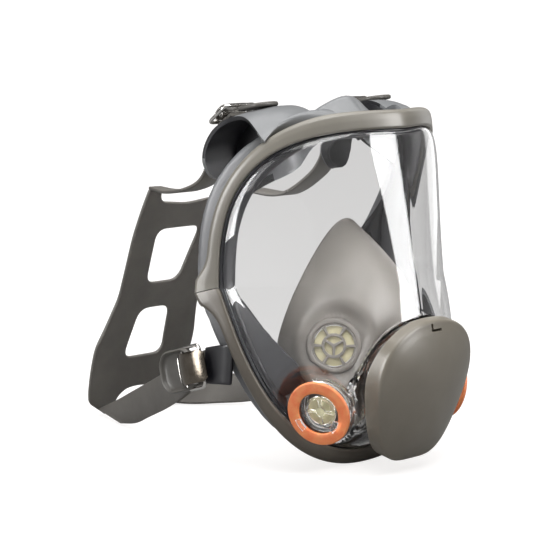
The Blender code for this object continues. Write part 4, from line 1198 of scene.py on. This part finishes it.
def build_buckles():
    for word, side in SIDES:
        slope = math.radians(-37)
        along = Vector((0, math.cos(slope), math.sin(slope)))
        normal = Vector((0, -math.sin(slope), math.cos(slope)))
        foot = Vector((UPPER_STRAP_X * side, 91.5, 213.1))
        buckle("upper_" + word, foot + normal * 3.4, normal, along, STEEL)
        flat = axis_place(Vector((UPPER_STRAP_X * side, 71, 221.2)), Vector((0, 0.19, 0.98)),
                          Vector((0, 1, 0)))
        tab = oval_grip("grip_upper_" + word, flat, TAB_RUBBER, 25, 20)
        settle(tab, "pull_tab_upper_" + word)
        along = Vector((-0.1 * side, 0.955, -0.28)).normalized()
        normal = Vector((side, 0.1, 0.0))
        normal = (normal - along * normal.dot(along)).normalized()
        foot = Vector((84.3 * side, 89.5, 62.2))
        buckle("lower_" + word, foot + normal * 3.8, normal, along, DARK_STEEL, (-14.5, 13.0), 4.0)
        place = axis_place(foot + normal * 3.6 + along * 15.5, normal, along)
        tab = oval_grip("grip_lower_" + word, place, TAB_RUBBER, 36, 27, 2.4)
        settle(tab, "pull_tab_lower_" + word, "buckle_lower_" + word)


# ---- stage
def ray_mix(tree, kinds, value):
    """One brightness for each kind of ray, and value for the rest."""
    path = node(tree, "LightPath", {})
    for kind, level in kinds:
        mix = {"Factor": path.outputs[kind], "A": value, "B": level}
        value = node(tree, "Mix", mix, data_type="FLOAT").outputs["Result"]
    return value


def build_stage():
    floor = bpy.data.meshes.new("floor")
    floor.from_pydata([(-30, -30, 0), (30, -30, 0), (30, 30, 0), (-30, 30, 0)], [], [(0, 1, 2, 3)])
    plane = show("floor", floor)
    mat, tree, shader = new_material("floor_paper")
    glow = ray_mix(tree, (("Is Transmission Ray", FLOOR_THROUGH), ("Is Camera Ray", FLOOR_SEEN)),
                   FLOOR_BOUNCE)
    fill(tree, shader, {"Base Color": (0.28, 0.28, 0.28, 1), "Roughness": 0.9, "Specular IOR Level": 0.0,
                        "Emission Color": STUDIO_WHITE, "Emission Strength": glow})
    floor.materials.append(mat)


def direction(azimuth, elevation):
    """Azimuth 0 is in front of the mask, positive towards the wearer's left."""
    a, e = math.radians(azimuth), math.radians(elevation)
    return Vector((math.sin(a) * math.cos(e), -math.cos(a) * math.cos(e), math.sin(e)))


def lamp(name, azimuth, elevation, distance, size, radiance, lights_matt):
    """A rectangular soft box that faces the middle of the mask."""
    data = bpy.data.lights.new(name, "AREA")
    data.shape = "RECTANGLE"
    data.size, data.size_y = size
    data.energy = radiance * math.pi * size[0] * size[1]
    obj = show(name, data)
    away = direction(azimuth, elevation)
    obj.location = Vector((0.0, 0.0, 0.11)) + away * distance
    obj.rotation_euler = (-away).to_track_quat("-Z", "Y").to_euler()
    obj.visible_diffuse = lights_matt


def build_lights():
    studio = bpy.data.worlds.new("studio")
    bpy.context.scene.world = studio
    studio.use_nodes = True
    tree = studio.node_tree
    level = ray_mix(tree, (("Is Glossy Ray", 0.16), ("Is Transmission Ray", 0.6), ("Is Camera Ray", 1.1)),
                    WORLD_DIFFUSE)
    fill(tree, tree.nodes["Background"], {"Color": STUDIO_WHITE, "Strength": level})
    lamp("front_box", 20, 14, 1.6, (0.66, 1.3), 11, False)
    lamp("side_box", -108, 8, 1.5, (0.6, 1.2), 13, False)
    lamp("side_fill", -100, 26, 1.7, (0.8, 0.9), 2.3, True)
    lamp("right_box", 100, 10, 1.7, (0.6, 1.2), 1.0, False)
    lamp("top_box", -30, 58, 1.7, (1.0, 1.0), 4.6, True)
    sun = bpy.data.lights.new("overhead", "SUN")
    sun.energy = 3.0
    sun.angle = math.radians(70)
    show("overhead", sun)


def build_camera():
    target = Vector((0, -0.00595, 0.10303))
    back = direction(CAMERA_AZIMUTH, CAMERA_ELEVATION)
    right = (-back).cross(Vector((0, 0, 1))).normalized()
    up = right.cross(-back)
    data = bpy.data.cameras.new("camera")
    data.sensor_width = 36
    data.lens = data.sensor_width * CAMERA_REACH
    data.shift_y = CAMERA_SHIFT
    data.clip_start = 0.05
    camera = show("camera", data)
    camera.matrix_world = Matrix.Translation(target + back * CAMERA_DISTANCE) @ Matrix(
        (right, up, back)).transposed().to_4x4()
    bpy.context.scene.camera = camera


for build in (build_camera, build_lens, build_frames, build_seal, build_cheeks, build_ears, build_ports,
              build_cover, build_adapter, build_nose_cup, build_cradle, build_straps, build_buckles,
              build_stage, build_lights):
    build()
bpy.context.scene.view_settings.view_transform = "Standard"
bpy.context.view_layer.update()
